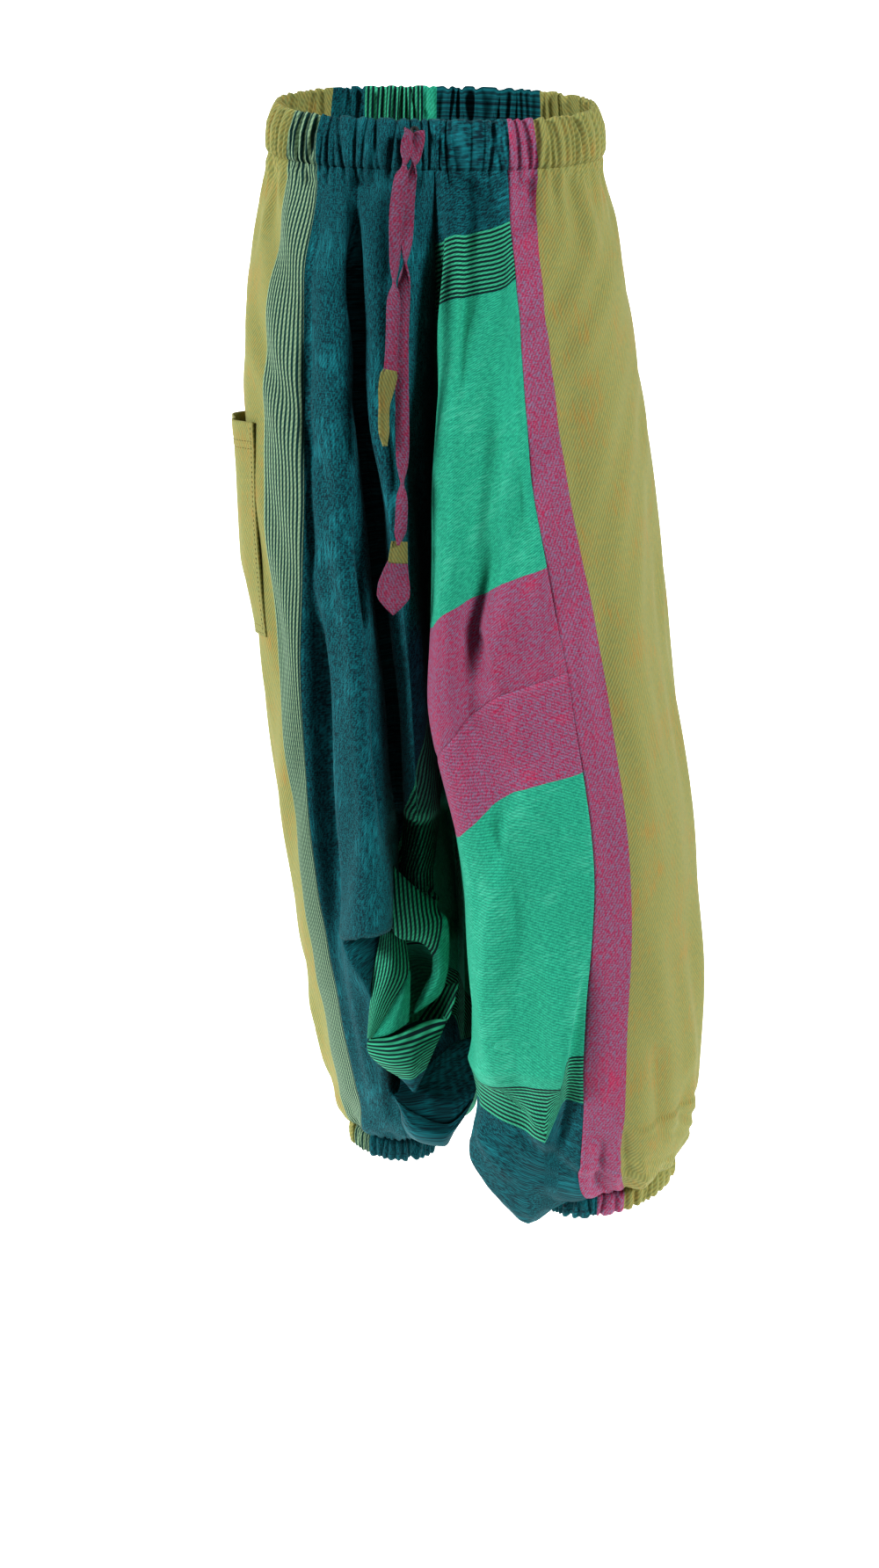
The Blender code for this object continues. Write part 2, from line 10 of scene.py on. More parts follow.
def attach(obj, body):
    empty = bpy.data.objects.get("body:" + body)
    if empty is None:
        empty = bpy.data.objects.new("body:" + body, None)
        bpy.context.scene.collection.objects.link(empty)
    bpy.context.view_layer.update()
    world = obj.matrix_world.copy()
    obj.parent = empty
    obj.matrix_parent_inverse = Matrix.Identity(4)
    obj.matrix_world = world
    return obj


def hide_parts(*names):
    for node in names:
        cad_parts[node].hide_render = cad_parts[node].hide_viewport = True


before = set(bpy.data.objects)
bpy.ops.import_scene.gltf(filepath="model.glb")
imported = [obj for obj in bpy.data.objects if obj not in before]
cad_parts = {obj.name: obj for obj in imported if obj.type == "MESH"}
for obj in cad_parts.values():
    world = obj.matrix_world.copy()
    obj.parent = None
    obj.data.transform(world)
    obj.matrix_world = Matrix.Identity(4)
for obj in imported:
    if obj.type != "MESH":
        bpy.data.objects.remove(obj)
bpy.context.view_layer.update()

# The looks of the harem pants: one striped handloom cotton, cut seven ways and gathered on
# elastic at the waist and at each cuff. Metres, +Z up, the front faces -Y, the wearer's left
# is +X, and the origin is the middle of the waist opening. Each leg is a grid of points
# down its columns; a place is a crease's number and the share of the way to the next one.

CM, MM = 0.01, 0.001
RIGHT, LEFT = -1, 1

# Waist casing: the height of its foot, and the gap between it and the panels' tops
CASING_LOW, CASING_GAP = -0.0142, 0.0005
BUTTONHOLE = Vector((-0.0153, -0.1025, -0.0066))
SQUARENESS = 2.25            # of each leg's ring, where 2 is an ellipse
# The waist's dip to the front and each cuff's tilt outward: how steep, and how far each reaches
WAIST_DIP, DIP_REACH = 0.18, 0.15
CUFF_TILT, TILT_REACH = {RIGHT: -0.12, LEFT: 0.30}, 0.09
CROTCH, CROTCH_BLEND = -0.79, 0.008
# Between two cut edges; how deep each allowance is turned in, and how far it passes the next
SEAM_GAP, SEAM_ALLOWANCE, SEAM_CROSS = 0.0003, 0.0040, 0.0014
HALF_ROWS, ROW_HEIGHT = 9, 0.047     # whole rows above the cross cut, and as many below it
LEVELS = {
    RIGHT: (-0.017, -0.12, -0.26, -0.42, -0.58, -0.72, -0.80, -0.867),
    LEFT: (-0.017, -0.12, -0.26, -0.42, -0.58, -0.72, -0.812, -0.846),
}

# Ring of each leg, cm, one column a height
RINGS = {
    RIGHT: {
        "centre x": (0.0, -0.8, -2.2, -3.0, -2.8, -2.2, -1.8, -2.8),
        "centre y": (0.0, 0.0, 0.4, 1.2, 2.6, 5.0, 6.2, 7.0),
        "half width": (13.1, 14.2, 13.0, 11.2, 9.6, 8.1, 6.9, 3.8),
        "front": (10.3, 11.8, 12.8, 12.6, 12.0, 10.0, 7.4, 3.8),
        "back": (10.0, 12.2, 13.0, 12.6, 11.8, 9.2, 7.2, 3.8),
        "opens": (90, 98, 108, 118, 134, 156, 172, 176),
    },
    LEFT: {
        "centre x": (0.0, 1.2, 4.0, 6.6, 9.6, 12.2, 13.3, 16.0),
        "centre y": (0.0, -0.2, -0.8, -1.6, -2.6, -4.0, -5.2, -6.0),
        "half width": (13.1, 14.15, 13.75, 13.25, 12.85, 11.2, 9.2, 5.3),
        "front": (10.3, 11.9, 13.1, 13.4, 13.3, 11.6, 9.2, 5.3),
        "back": (10.0, 12.2, 12.6, 12.0, 11.2, 9.6, 8.0, 5.3),
        "opens": (90, 98, 110, 120, 128, 130, 125, 172),
    },
}

# Creases across each front, from the middle out: name, x in cm, y in cm, one column a height
FRONT_CREASES = {
    RIGHT: (
        ("middle fold", (-0.3, -0.3, -0.4, 0.3, 1.6, 3.2, 4.2, 0.8),
         (-10.1, -8.8, -6.2, -4.5, -2.5, -0.8, 1.6, 5.8)),
        ("second ridge inner", (-2.1, -2.5, -2.1, -0.6, 0.4, 1.4, 2.2, 0.3),
         (-10.2, -11.4, -11.6, -10.0, -7.0, -3.4, -0.2, 4.9)),
        ("second ridge", (-3.5, -3.5, -2.9, -1.4, -0.5, -0.4, 0.2, -0.3),
         (-10.1, -11.7, -12.6, -11.3, -8.1, -4.2, -1.0, 4.2)),
        ("second ridge outer", (-5.2, -5.0, -3.9, -2.2, -1.4, -1.6, -1.4, -0.9),
         (-9.7, -11.0, -11.7, -10.2, -6.9, -3.9, -1.1, 3.75)),
        ("deep gap", (-5.9, -5.6, -5.0, -3.2, -2.3, -2.4, -2.2, -1.5),
         (-9.4, -9.6, -9.0, -7.0, -5.4, -3.5, -1.1, 3.45)),
        ("first ridge inner", (-6.5, -6.4, -5.8, -4.2, -3.2, -3.2, -2.9, -2.2),
         (-9.3, -10.8, -11.7, -11.0, -9.0, -4.8, -1.3, 3.25)),
        ("first ridge", (-7.3, -7.8, -7.3, -5.9, -5.0, -4.4, -3.8, -2.9),
         (-9.0, -10.9, -12.3, -12.1, -10.2, -5.4, -1.2, 3.2)),
        ("first ridge outer", (-7.9, -8.9, -8.5, -7.6, -7.0, -5.7, -4.7, -3.7),
         (-8.75, -10.1, -11.0, -10.4, -8.1, -4.5, -0.8, 3.35)),
        ("side groove", (-8.3, -9.3, -9.1, -8.7, -8.0, -6.4, -5.2, -4.3),
         (-8.5, -9.6, -10.2, -8.8, -6.6, -3.4, -0.4, 3.55)),
        ("lined stripe inner", (-8.8, -9.8, -9.7, -10.1, -9.2, -7.1, -5.9, -4.9),
         (-8.25, -9.6, -10.5, -8.8, -6.6, -3.2, 0.0, 3.9)),
        ("lined stripe middle", (-10.0, -11.3, -11.4, -11.1, -9.9, -8.0, -6.8, -5.6),
         (-7.3, -8.7, -9.4, -8.2, -6.0, -2.6, 0.7, 4.6)),
        ("lined stripe outer", (-11.2, -12.6, -13.0, -12.0, -10.6, -8.9, -7.6, -6.2),
         (-6.0, -7.3, -7.3, -6.6, -4.9, -1.4, 1.8, 5.6)),
    ),
    LEFT: (
        ("middle flank", (0.3, 0.6, 0.6, 0.8, 2.9, 4.2, 4.9, 10.8),
         (-10.1, -9.3, -7.5, -7.0, -7.0, -6.0, -1.5, -7.0)),
        ("fold edge", (0.6, 0.8, 0.3, 0.2, 3.6, 4.3, 4.8, 11.1),
         (-10.2, -11.3, -12.6, -13.0, -13.6, -12.0, -7.0, -8.0)),
        ("edge roll", (1.3, 1.8, 1.4, 1.5, 5.0, 5.6, 6.1, 11.7),
         (-10.3, -12.1, -13.8, -14.3, -15.0, -13.8, -10.6, -9.1)),
        ("soft valley", (3.6, 4.6, 3.9, 3.4, 7.0, 7.6, 8.3, 12.6),
         (-10.1, -11.4, -13.1, -13.8, -14.8, -14.3, -12.6, -10.1)),
        ("front ridge", (4.6, 5.6, 5.6, 5.6, 9.1, 10.4, 10.3, 13.5),
         (-9.9, -11.7, -13.9, -15.0, -16.1, -16.0, -14.2, -10.7)),
        ("strip inner", (5.5, 6.4, 7.7, 11.0, 13.2, 12.8, 12.8, 14.6),
         (-9.7, -11.6, -13.6, -14.5, -15.6, -15.6, -14.0, -11.1)),
        ("strip outer", (7.7, 8.3, 10.4, 13.9, 16.1, 16.2, 16.2, 16.8),
         (-8.8, -10.9, -12.8, -13.4, -14.8, -15.3, -14.0, -11.3)),
        ("olive ridge", (9.8, 11.5, 13.6, 16.5, 18.6, 18.7, 19.2, 18.9),
         (-7.5, -9.0, -10.8, -11.6, -13.0, -13.7, -12.6, -10.5)),
    ),
}

# Creases round the side and the back: name, share of the ring's opening, sink in mm
SINK_HEIGHTS = (-0.03, -0.26, -0.58, -0.85)
ROUND_CREASES = {
    RIGHT: (
        ("olive fold", -0.22, (0, 1, 0, 0)),
        ("side trough", -0.07, (0, 6, 1, 0)),
        ("side", 0.08, (0, -1, 0, 0)),
        ("side back", 0.21, (0, 1, 0, 0)),
        ("back trough 1", 0.33, (2, 8, 9, 0)),
        ("back ridge 1", 0.44, (0, -3, -4, 0)),
        ("back trough 2", 0.55, (2, 11, 13, 0)),
        ("back ridge 2", 0.66, (0, -3, -5, 0)),
        ("back trough 3", 0.77, (2, 13, 15, 0)),
        ("back ridge 3", 0.88, (0, -2, -4, 0)),
    ),
    LEFT: (
        ("olive groove", -0.28, (0, 3, 3, 2)),
        ("olive fold", -0.10, (0, 0, -1, 0)),
        ("side", 0.08, (0, 0, 0, 0)),
        ("side back", 0.21, (0, 3, 2, 0)),
        ("back trough 1", 0.33, (2, -2, -3, 0)),
        ("back ridge 1", 0.43, (0, 9, 12, 0)),
        ("back trough 2", 0.55, (2, -3, -5, 0)),
        ("back ridge 2", 0.66, (0, 12, 14, 0)),
        ("back trough 3", 0.78, (2, -3, -4, 0)),
        ("back ridge 3", 0.89, (0, 10, 12, 0)),
    ),
}
SIDE_STARTS = {RIGHT: "deep gap", LEFT: "strip inner"}
BACK_STARTS = "back trough 2"
# Height of each leg's middle row at the middle seam and at the side: the left one is cut there
CROSS_CUT = {RIGHT: (-0.44, -0.44), LEFT: (-0.505, -0.401)}

# The middle seam down to the crotch, and each inseam below it, cm
MIDDLE_SEAM = {
    "level": (-0.017, -0.12, -0.26, -0.42, -0.58, -0.72, CROTCH),
    "x": (0.0, 0.2, 0.6, 1.4, 2.8, 4.3, 4.9),
    "front": (-10.0, -7.5, -3.0, -0.8, 0.4, 1.8, 2.95),
    "back": (9.8, 10.6, 9.6, 7.8, 5.8, 4.4, 3.45),
}
INSEAMS = {
    RIGHT: {"level": (CROTCH - CROTCH_BLEND, -0.838, -0.867), "x": (4.9, 4.3, 1.0), "y": (3.2, 4.6, 7.0)},
    LEFT: {"level": (CROTCH - CROTCH_BLEND, -0.825, -0.846), "x": (4.9, 5.6, 10.7), "y": (3.2, 0.0, -6.0)},
}

# Ties: x, y, z in cm down each route
TIE_WIDTH, TIE_THICK = 0.0100, 0.0016
SHORT_LENGTH, LONG_LENGTH = 0.18, 0.31
TIE_PAINTED_SHADE = 0.64         # painted shade: the ties are the legs' cloth, drawn darker
SHORT_TIE = (
    (-1.85, -10.85, -0.6), (-1.95, -11.5, -1.2), (-2.15, -12.3, -2.6), (-2.5, -12.9, -4.5),
    (-2.75, -13.3, -6.8), (-2.8, -13.6, -9.5), (-2.85, -13.8, -12.5), (-2.95, -13.95, -15.5),
    (-3.1, -14.0, -18.0),
)
LONG_TIE = (
    (-1.2, -10.6, -0.6), (-1.25, -11.0, -1.2), (-1.5, -11.6, -2.6), (-1.8, -12.2, -4.6),
    (-1.95, -12.7, -7.0), (-2.05, -13.1, -10.0), (-2.15, -13.35, -13.0), (-2.2, -13.5, -17.0),
    (-2.15, -13.6, -21.0), (-2.1, -13.6, -25.0), (-2.15, -13.5, -28.5), (-2.3, -13.35, -30.6),
)

# The striped cloth, in the order of its stripes, and how wide each is
STRIPES = (
    ("olive", 0.30), ("lined olive", 0.034), ("teal", 0.20), ("lined green", 0.048),
    ("green", 0.25), ("magenta", 0.12),
)
STRIPE_START = {name: sum(width for _, width in STRIPES[:i]) for i, (name, _) in enumerate(STRIPES)}
REPEAT = sum(width for _, width in STRIPES)
CLOTH_THICK = 0.0008

# The steps between a leg's columns and rows, and between its rows near the elastic
COLUMN_STEP, ROW_STEP, EDGE_ROW_STEP = 0.0026, 0.0045, 0.0024
FINE_ABOVE, FINE_BELOW = 2, 13       # rows with the edge's step, near the waist and the cuff
WELD = 2e-5

# Camera: its place, its lens in mm, its tilt and roll in degrees
CAMERA_PLACE, CAMERA_LENS = (0.010, -1.725, -0.084), 48.43
CAMERA_TILT, CAMERA_ROLL = 75.59, 0.79

# Softboxes: place, size and power in watts; both are aimed at the thighs
SOFTBOXES = {
    "right softbox": ((2.2, -2.1, 1.0), 0.8, 92),
    "left softbox": ((-2.6, -1.1, 0.8), 0.8, 84),
}
SOFTBOX_AIM = (0, 0, -0.4)
ROOM_LIGHT, PAPER_GLOW = 0.10, 0.97
# The paper sweep from the side, y and z, and half its width
SWEEP_PROFILE = ((-0.42, -1.055), (2.0, -1.055), (2.7, -0.97), (3.2, -0.6), (3.4, 0.1), (3.4, 4.0))
SWEEP_HALF_WIDTH = 5


# ---------------------------------------------------------------- small helpers

def link_new(name, data):
    """A new object of this data, in the scene."""
    made = bpy.data.objects.new(name, data)
    bpy.context.scene.collection.objects.link(made)
    return made


def mesh_object(name, points, faces, material):
    """A smooth object of one material."""
    mesh = bpy.data.meshes.new(name)
    mesh.from_pydata(points, [], faces)
    mesh.materials.append(material)
    mesh.shade_smooth()
    return link_new(name, mesh)


@contextmanager
def editing(mesh):
    """A mesh opened for bmesh operators, and written back when they are done."""
    build = bmesh.new()
    build.from_mesh(mesh)
    yield build
    build.to_mesh(mesh)
    build.free()


def unit(vectors):
    return vectors / np.maximum(np.linalg.norm(vectors, axis=-1, keepdims=True), 1e-9)


def nearest(values, at):
    return int(np.argmin(np.abs(values - at)))


def soft(x):
    """0 below 0, 1 above 1, and smooth between."""
    x = np.clip(x, 0.0, 1.0)
    return x * x * (3 - 2 * x)


def window(x, low, high, blur):
    """1 between low and high, 0 outside them, and soft over the blur at either end."""
    return soft((x - low) / blur + 0.5) * soft((high - x) / blur + 0.5)


def run_of(points, axis):
    """Distance along a grid's rows (axis 1) or columns (axis 0), or along a line of points."""
    steps = np.linalg.norm(np.diff(points, axis=axis), axis=-1)
    start = np.zeros_like(steps[:, :1] if axis == 1 else steps[:1])
    return np.concatenate([start, np.cumsum(steps, axis=axis)], axis=axis)


# ---------------------------------------------------------------- camera, light and floor

def set_camera():
    """Stands in front of the pants at waist height and looks a little down."""
    camera = link_new("camera", bpy.data.cameras.new("camera"))
    camera.data.sensor_width, camera.data.lens = 36.0, CAMERA_LENS
    tilt = Euler((radians(CAMERA_TILT), 0, 0)).to_matrix()
    turn = tilt @ Euler((0, 0, radians(CAMERA_ROLL))).to_matrix()
    camera.matrix_world = Matrix.Translation(CAMERA_PLACE) @ turn.to_4x4()
    camera.data.clip_end = 50
    bpy.context.scene.camera = camera


def softbox(name, place, size, power):
    """A square area light that faces the thighs."""
    light = link_new(name, bpy.data.lights.new(name, "AREA"))
    light.data.size, light.data.energy = size, power
    light.location = place
    light.rotation_euler = (Vector(SOFTBOX_AIM) - Vector(place)).to_track_quat("-Z", "Y").to_euler()


def set_studio():
    """A dim room, a softbox on either side, and a white paper sweep bright enough to burn out."""
    world = bpy.data.worlds.new("dim studio")
    world.use_nodes = True
    world.node_tree.nodes["Background"].inputs["Color"].default_value = (1, 1, 1, 1)
    world.node_tree.nodes["Background"].inputs["Strength"].default_value = ROOM_LIGHT
    scene = bpy.context.scene
    scene.world = world
    scene.view_settings.view_transform = "Standard"
    scene.view_settings.look = "Medium High Contrast"
    for name, row in SOFTBOXES.items():
        softbox(name, *row)
    paper = new_material("white background paper, lit from behind", {
        "Base Color": (*linear("#F4F3F1"), 1), "Roughness": 0.9,
        "Emission Color": (1, 1, 1, 1), "Emission Strength": PAPER_GLOW})[0]
    points = [(x, y, z) for y, z in SWEEP_PROFILE for x in (-SWEEP_HALF_WIDTH, SWEEP_HALF_WIDTH)]
    faces = [(2 * i, 2 * i + 1, 2 * i + 3, 2 * i + 2) for i in range(len(SWEEP_PROFILE) - 1)]
    mesh_object("paper_sweep", points, faces, paper)


# ---------------------------------------------------------------- materials

def linear(code):
    """An sRGB hex colour as linear numbers."""
    parts = [int(code[i : i + 2], 16) / 255 for i in (1, 3, 5)]
    return tuple(c / 12.92 if c <= 0.04045 else ((c + 0.055) / 1.055) ** 2.4 for c in parts)


def add(tree, kind, inputs=None, **settings):
    """Adds a node, with its settings, and its inputs as values or as links from other nodes."""
    made = tree.nodes.new(kind)
    for name, value in settings.items():
        setattr(made, name, value)
    for key, value in (inputs or {}).items():
        if isinstance(value, bpy.types.NodeSocket):
            tree.links.new(value, made.inputs[key])
        else:
            made.inputs[key].default_value = value
    return made


def new_material(name, inputs):
    """A material with its shader's inputs set, and its node tree and its shader."""
    made = bpy.data.materials.new(name)
    made.use_nodes = True
    shader = made.node_tree.nodes["Principled BSDF"]
    for key, value in inputs.items():
        shader.inputs[key].default_value = value
    return made, made.node_tree, shader


# Each stripe's warp colour, the weft that shows between, and the slubs that drift through it
YARNS = {
    "olive": ("#999355", "#838B57", "#B07F3C"),
    "lined olive": ("#123F3C", "#0C3031", "#1F4E44"),
    "teal": ("#08656D", "#042B35", "#2496A0"),
    "lined green": ("#062E31", "#042226", "#0A423F"),
    "green": ("#34B391", "#239178", "#5CCAAB"),
    "magenta": ("#A3355C", "#826A85", "#C2204E"),
}
# The fine lines of the two lined stripes: their colour, and how far apart they are
LINE_YARNS = {"lined olive": ("#87A484", 0.0028), "lined green": ("#3FAE88", 0.0036)}
LINE_WAVE = (-0.25, 0.35)    # the part of its wave where a line fades in
TWILL_PITCH = 0.0026         # real twill is about 0.6 mm and wouldn't show
TWILL_TONES = (0.76, 1.14)   # between the ribs, and on them
YARN_WIDE, YARN_LONG, WEFT_SHARE = 0.0011, 0.0045, 0.6
# Noise, in waves a metre across and along: slow drift of the slubs, and the slubs themselves
DRIFT, SLUBS = (26, 26), (520, 60)
# Where the noise starts and ends each change
WEFT_SHOWS, SLUB_SHOWS, SLUB_MOST = (0.88, 1.12), (0.27, 0.45), 0.45
GRAIN_SHOWS, GRAIN_TONES = (0.3, 0.7), (0.88, 1.12)
WEAVE_RISE, RIB_SHARE = 0.0007, 0.25
# Matt cotton with a little fuzz
COTTON = {"Roughness": 0.88, "Specular IOR Level": 0.18, "IOR": 1.53, "Sheen Weight": 0.05,
          "Sheen Roughness": 0.5}


def handloom_cotton(name="handloom cotton twill, woven stripes", painted_shade=1.0):
    """Handloom cotton twill: matt, slubby yarn of two colours, soft fuzz, stripes woven in."""
    made, tree, shader = new_material(name, COTTON)
    cloth = add(tree, "ShaderNodeUVMap", uv_map="Cloth").outputs["UV"]

    def maths(operation, *values):
        return add(tree, "ShaderNodeMath", dict(enumerate(values)), operation=operation).outputs[0]

    def spread(value, start, to=(0.0, 1.0)):
        return add(tree, "ShaderNodeMapRange", {
            "Value": value, "From Min": start[0], "From Max": start[1], "To Min": to[0],
            "To Max": to[1]}).outputs[0]

    def noise(scale, detail, roughness=0.5):
        place = add(tree, "ShaderNodeMapping", {"Vector": cloth, "Scale": (*scale, 1)}).outputs[0]
        return add(tree, "ShaderNodeTexNoise", {
            "Vector": place, "Scale": 1.0, "Detail": detail, "Roughness": roughness}).outputs["Fac"]

    def blend(share, first, second):
        return add(tree, "ShaderNodeMix", {"Factor": share, "A": first, "B": second},
                   data_type="RGBA").outputs["Result"]

    across = add(tree, "ShaderNodeSeparateXYZ", {"Vector": cloth}).outputs["X"]
    share = maths("FRACT", maths("DIVIDE", across, REPEAT))
    colours = []
    for number in range(3):
        ramp = add(tree, "ShaderNodeValToRGB", {"Fac": share})
        ramp.color_ramp.interpolation = "CONSTANT"
        stops = ramp.color_ramp.elements
        for i, (stripe, _) in enumerate(STRIPES):
            stop = stops[i] if i < 2 else stops.new(STRIPE_START[stripe] / REPEAT)
            stop.position = STRIPE_START[stripe] / REPEAT
            stop.color = (*linear(YARNS[stripe][number]), 1)
        colours.append(ramp.outputs["Color"])
    # Yarn that is thick and thin, once along the warp and once along the weft
    warp = noise((1 / YARN_WIDE, 1 / YARN_LONG), 2.0, 0.6)
    weft = noise((1 / (YARN_LONG * WEFT_SHARE), 1 / YARN_WIDE), 2.0, 0.6)
    weave = maths("ADD", warp, weft)
    slubs = maths("MULTIPLY", noise(DRIFT, 2.0), noise(SLUBS, 1.0))
    body = blend(spread(weave, WEFT_SHOWS), colours[0], colours[1])
    body = blend(spread(slubs, SLUB_SHOWS, (0.0, SLUB_MOST)), body, colours[2])
    for stripe, (colour, pitch) in LINE_YARNS.items():
        middle = dict(STRIPES)[stripe] / 2
        from_start = maths("MULTIPLY_ADD", share, REPEAT, -STRIPE_START[stripe])
        inside = maths("COMPARE", from_start, middle, middle)
        line = spread(maths("SINE", maths("MULTIPLY", from_start, 2 * pi / pitch)), LINE_WAVE)
        body = blend(maths("MULTIPLY", line, inside), body, (*linear(colour), 1))
    # Twill: fine diagonal ribs, which darken the cloth a little between them
    aslant = (2 * pi / TWILL_PITCH, 1.3 * pi / TWILL_PITCH, 0)
    ribs = maths("SINE", add(tree, "ShaderNodeVectorMath", {0: cloth, 1: aslant},
                             operation="DOT_PRODUCT").outputs["Value"])
    # painted_shade scales the whole cloth's tone down as painted shade; the ties use it
    tone = maths("MULTIPLY", spread(ribs, (-1.0, 1.0), [painted_shade * tone for tone in TWILL_TONES]),
                 spread(weft, GRAIN_SHOWS, GRAIN_TONES))
    toned = add(tree, "ShaderNodeVectorMath", {0: body, "Scale": tone}, operation="SCALE")
    bump = add(tree, "ShaderNodeBump", {"Height": maths("MULTIPLY_ADD", ribs, RIB_SHARE, weave),
                                        "Strength": 0.35, "Distance": WEAVE_RISE})
    tree.links.new(toned.outputs[0], shader.inputs["Base Color"])
    tree.links.new(bump.outputs[0], shader.inputs["Normal"])
    return made


def sewing_thread(name, colour):
    """Spun polyester thread: a slight gloss, darker in the twist."""
    made, tree, shader = new_material(name, {"Roughness": 0.6})
    place = add(tree, "ShaderNodeTexCoord").outputs["Object"]
    twist = add(tree, "ShaderNodeTexNoise", {"Vector": place, "Scale": 900.0, "Detail": 1.0})
    light = (*linear(colour), 1)
    dark = (*[c * 0.6 for c in light[:3]], 1)
    tone = add(tree, "ShaderNodeMix", {"Factor": twist.outputs["Fac"], "A": dark, "B": light},
               data_type="RGBA")
    tree.links.new(tone.outputs["Result"], shader.inputs["Base Color"])
    return made


# ---------------------------------------------------------------- the form of each leg

def along(keys, values, at):
    """Smooth values at places between keys that rise or fall, without overshoot."""
    keys, values, at = (np.asarray(x, float) for x in (keys, values, at))
    if keys[0] > keys[-1]:
        keys, at = -keys, -at
    steps = np.diff(keys)
    slopes = np.diff(values) / steps
    inner = np.where(slopes[:-1] * slopes[1:] > 0, (slopes[:-1] + slopes[1:]) / 2, 0.0)
    tangents = np.concatenate([[slopes[0]], inner, [slopes[-1]]])
    i = np.clip(np.searchsorted(keys, at) - 1, 0, len(steps) - 1)
    h = steps[i]
    t = np.clip((at - keys[i]) / h, 0.0, 1.0)
    return (
        (2 * t**3 - 3 * t**2 + 1) * values[i]
        + (t**3 - 2 * t**2 + t) * h * tangents[i]
        + (3 * t**2 - 2 * t**3) * values[i + 1]
        + (t**3 - t**2) * h * tangents[i + 1]
    )


def ring_point(side, degrees, sink, level):
    """Points of the leg's plain ring: 0 degrees is straight out, 90 is the back."""
    sizes = {name: along(LEVELS[side], row, level) * CM for name, row in RINGS[side].items()}
    c, s = np.cos(np.radians(degrees)), np.sin(np.radians(degrees))
    power = 2 / SQUARENESS
    depth = np.where(s < 0, sizes["front"], sizes["back"])
    x = (sizes["half width"] - sink) * np.sign(c) * np.abs(c) ** power
    y = (depth - sink) * np.sign(s) * np.abs(s) ** power
    return np.stack([sizes["centre x"] + side * x, sizes["centre y"] + y], -1)


def seam_point(side, level, where):
    """Ends of the sections: on the middle seam above the crotch, on the inseam below it."""
    seam = INSEAMS[side]
    sign = -1 if where == "front" else 1
    fade = np.clip((CROTCH - level) / CROTCH_BLEND, 0.0, 1.0)
    above_x = along(MIDDLE_SEAM["level"], MIDDLE_SEAM["x"], level) * CM
    above_y = along(MIDDLE_SEAM["level"], MIDDLE_SEAM[where], level) * CM
    below_x = along(seam["level"], seam["x"], level) * CM
    below_y = along(seam["level"], seam["y"], level) * CM + sign * SEAM_GAP / 2
    x = np.where(level >= CROTCH, above_x, below_x) + side * SEAM_GAP
    return np.stack([x, above_y * (1 - fade) + below_y * fade], -1)


def section(side, level):
    """Crease points of one leg at each height, from the front seam round to the back seam."""
    points = [seam_point(side, level, "front")]
    for _, xs, ys in FRONT_CREASES[side]:
        points.append(np.stack([along(LEVELS[side], row, level) for row in (xs, ys)], -1) * CM)
    opens = along(LEVELS[side], RINGS[side]["opens"], level)
    for _, turn, sinks in ROUND_CREASES[side]:
        degrees = turn * (opens if turn > 0 else 90)
        points.append(ring_point(side, degrees, along(SINK_HEIGHTS, sinks, level) * MM, level))
    points.append(seam_point(side, level, "back"))
    return np.array(points)


def crease_number(side, name):
    names = [row[0] for row in FRONT_CREASES[side]] + [row[0] for row in ROUND_CREASES[side]]
    return 1 + names.index(name)


def last_crease(side):
    return 1 + len(FRONT_CREASES[side]) + len(ROUND_CREASES[side])


def slope(side, x, y, level):
    """How far the waist's dip and the cuff's tilt lift a point."""
    dip = WAIST_DIP * y * np.clip((level + DIP_REACH) / (CASING_LOW + DIP_REACH), 0.0, 1.0)
    share = np.clip(1 - (level - LEVELS[side][-1]) / TILT_REACH, 0.0, 1.0)
    return dip + CUFF_TILT[side] * share * (x - RINGS[side]["centre x"][-1] * CM)


def surface(side, places, level):
    """Points of the plain cloth at each column's place and height, on curves through creases."""
    creases = section(side, level)
    before, after = 2 * creases[:1] - creases[1:2], 2 * creases[-1:] - creases[-2:-1]
    creases = np.concatenate([before, creases, after])
    i = np.clip(np.floor(places).astype(int), 0, len(creases) - 4)
    t = (places - i)[None, :, None]
    column = np.arange(len(places))
    a, b, c, d = (np.moveaxis(creases[i + n, :, column], 0, 1) for n in range(4))
    spans = [np.maximum(np.linalg.norm(q - p, axis=-1, keepdims=True), 1e-6) ** 0.5
             for p, q in ((a, b), (b, c), (c, d))]
    t0, t1 = 0.0, spans[0]
    t2 = t1 + spans[1]
    t3 = t2 + spans[2]
    u = t1 + t * (t2 - t1)
    ab = (t1 - u) / (t1 - t0) * a + (u - t0) / (t1 - t0) * b
    bc = (t2 - u) / (t2 - t1) * b + (u - t1) / (t2 - t1) * c
    cd = (t3 - u) / (t3 - t2) * c + (u - t2) / (t3 - t2) * d
    abc = (t2 - u) / (t2 - t0) * ab + (u - t0) / (t2 - t0) * bc
    bcd = (t3 - u) / (t3 - t1) * bc + (u - t1) / (t3 - t1) * cd
    flat = (t2 - u) / (t2 - t1) * abc + (u - t1) / (t2 - t1) * bcd
    x, y = flat[..., 0], flat[..., 1]
    return np.stack([x, y, level + slope(side, x, y, level)], -1)


def row_level(side, places, rows):
    """Height of each row at each column, even down to the cross cut and even below it."""
    high, hem = CASING_LOW - CASING_GAP, LEVELS[side][-1]
    from_seam, to_seam = crease_number(side, SIDE_STARTS[side]), crease_number(side, BACK_STARTS)
    last = last_crease(side)
    share = np.minimum(1.0, np.minimum(places / from_seam, (last - places) / (last - to_seam)))
    cut = (CROSS_CUT[side][0] + (CROSS_CUT[side][1] - CROSS_CUT[side][0]) * share)[None, :]
    rows = rows[:, None]
    above = high + (cut - high) * rows / HALF_ROWS
    below = cut + (hem - cut) * (rows - HALF_ROWS) / HALF_ROWS
    return np.where(rows <= HALF_ROWS, above, below)


def normals_of(side, points):
    """Unit normals of a grid of points, away from the inside of the leg."""
    down, across = np.gradient(points, axis=0), np.gradient(points, axis=1)
    normal = np.cross(across, down) if side == RIGHT else np.cross(down, across)
    return unit(normal)


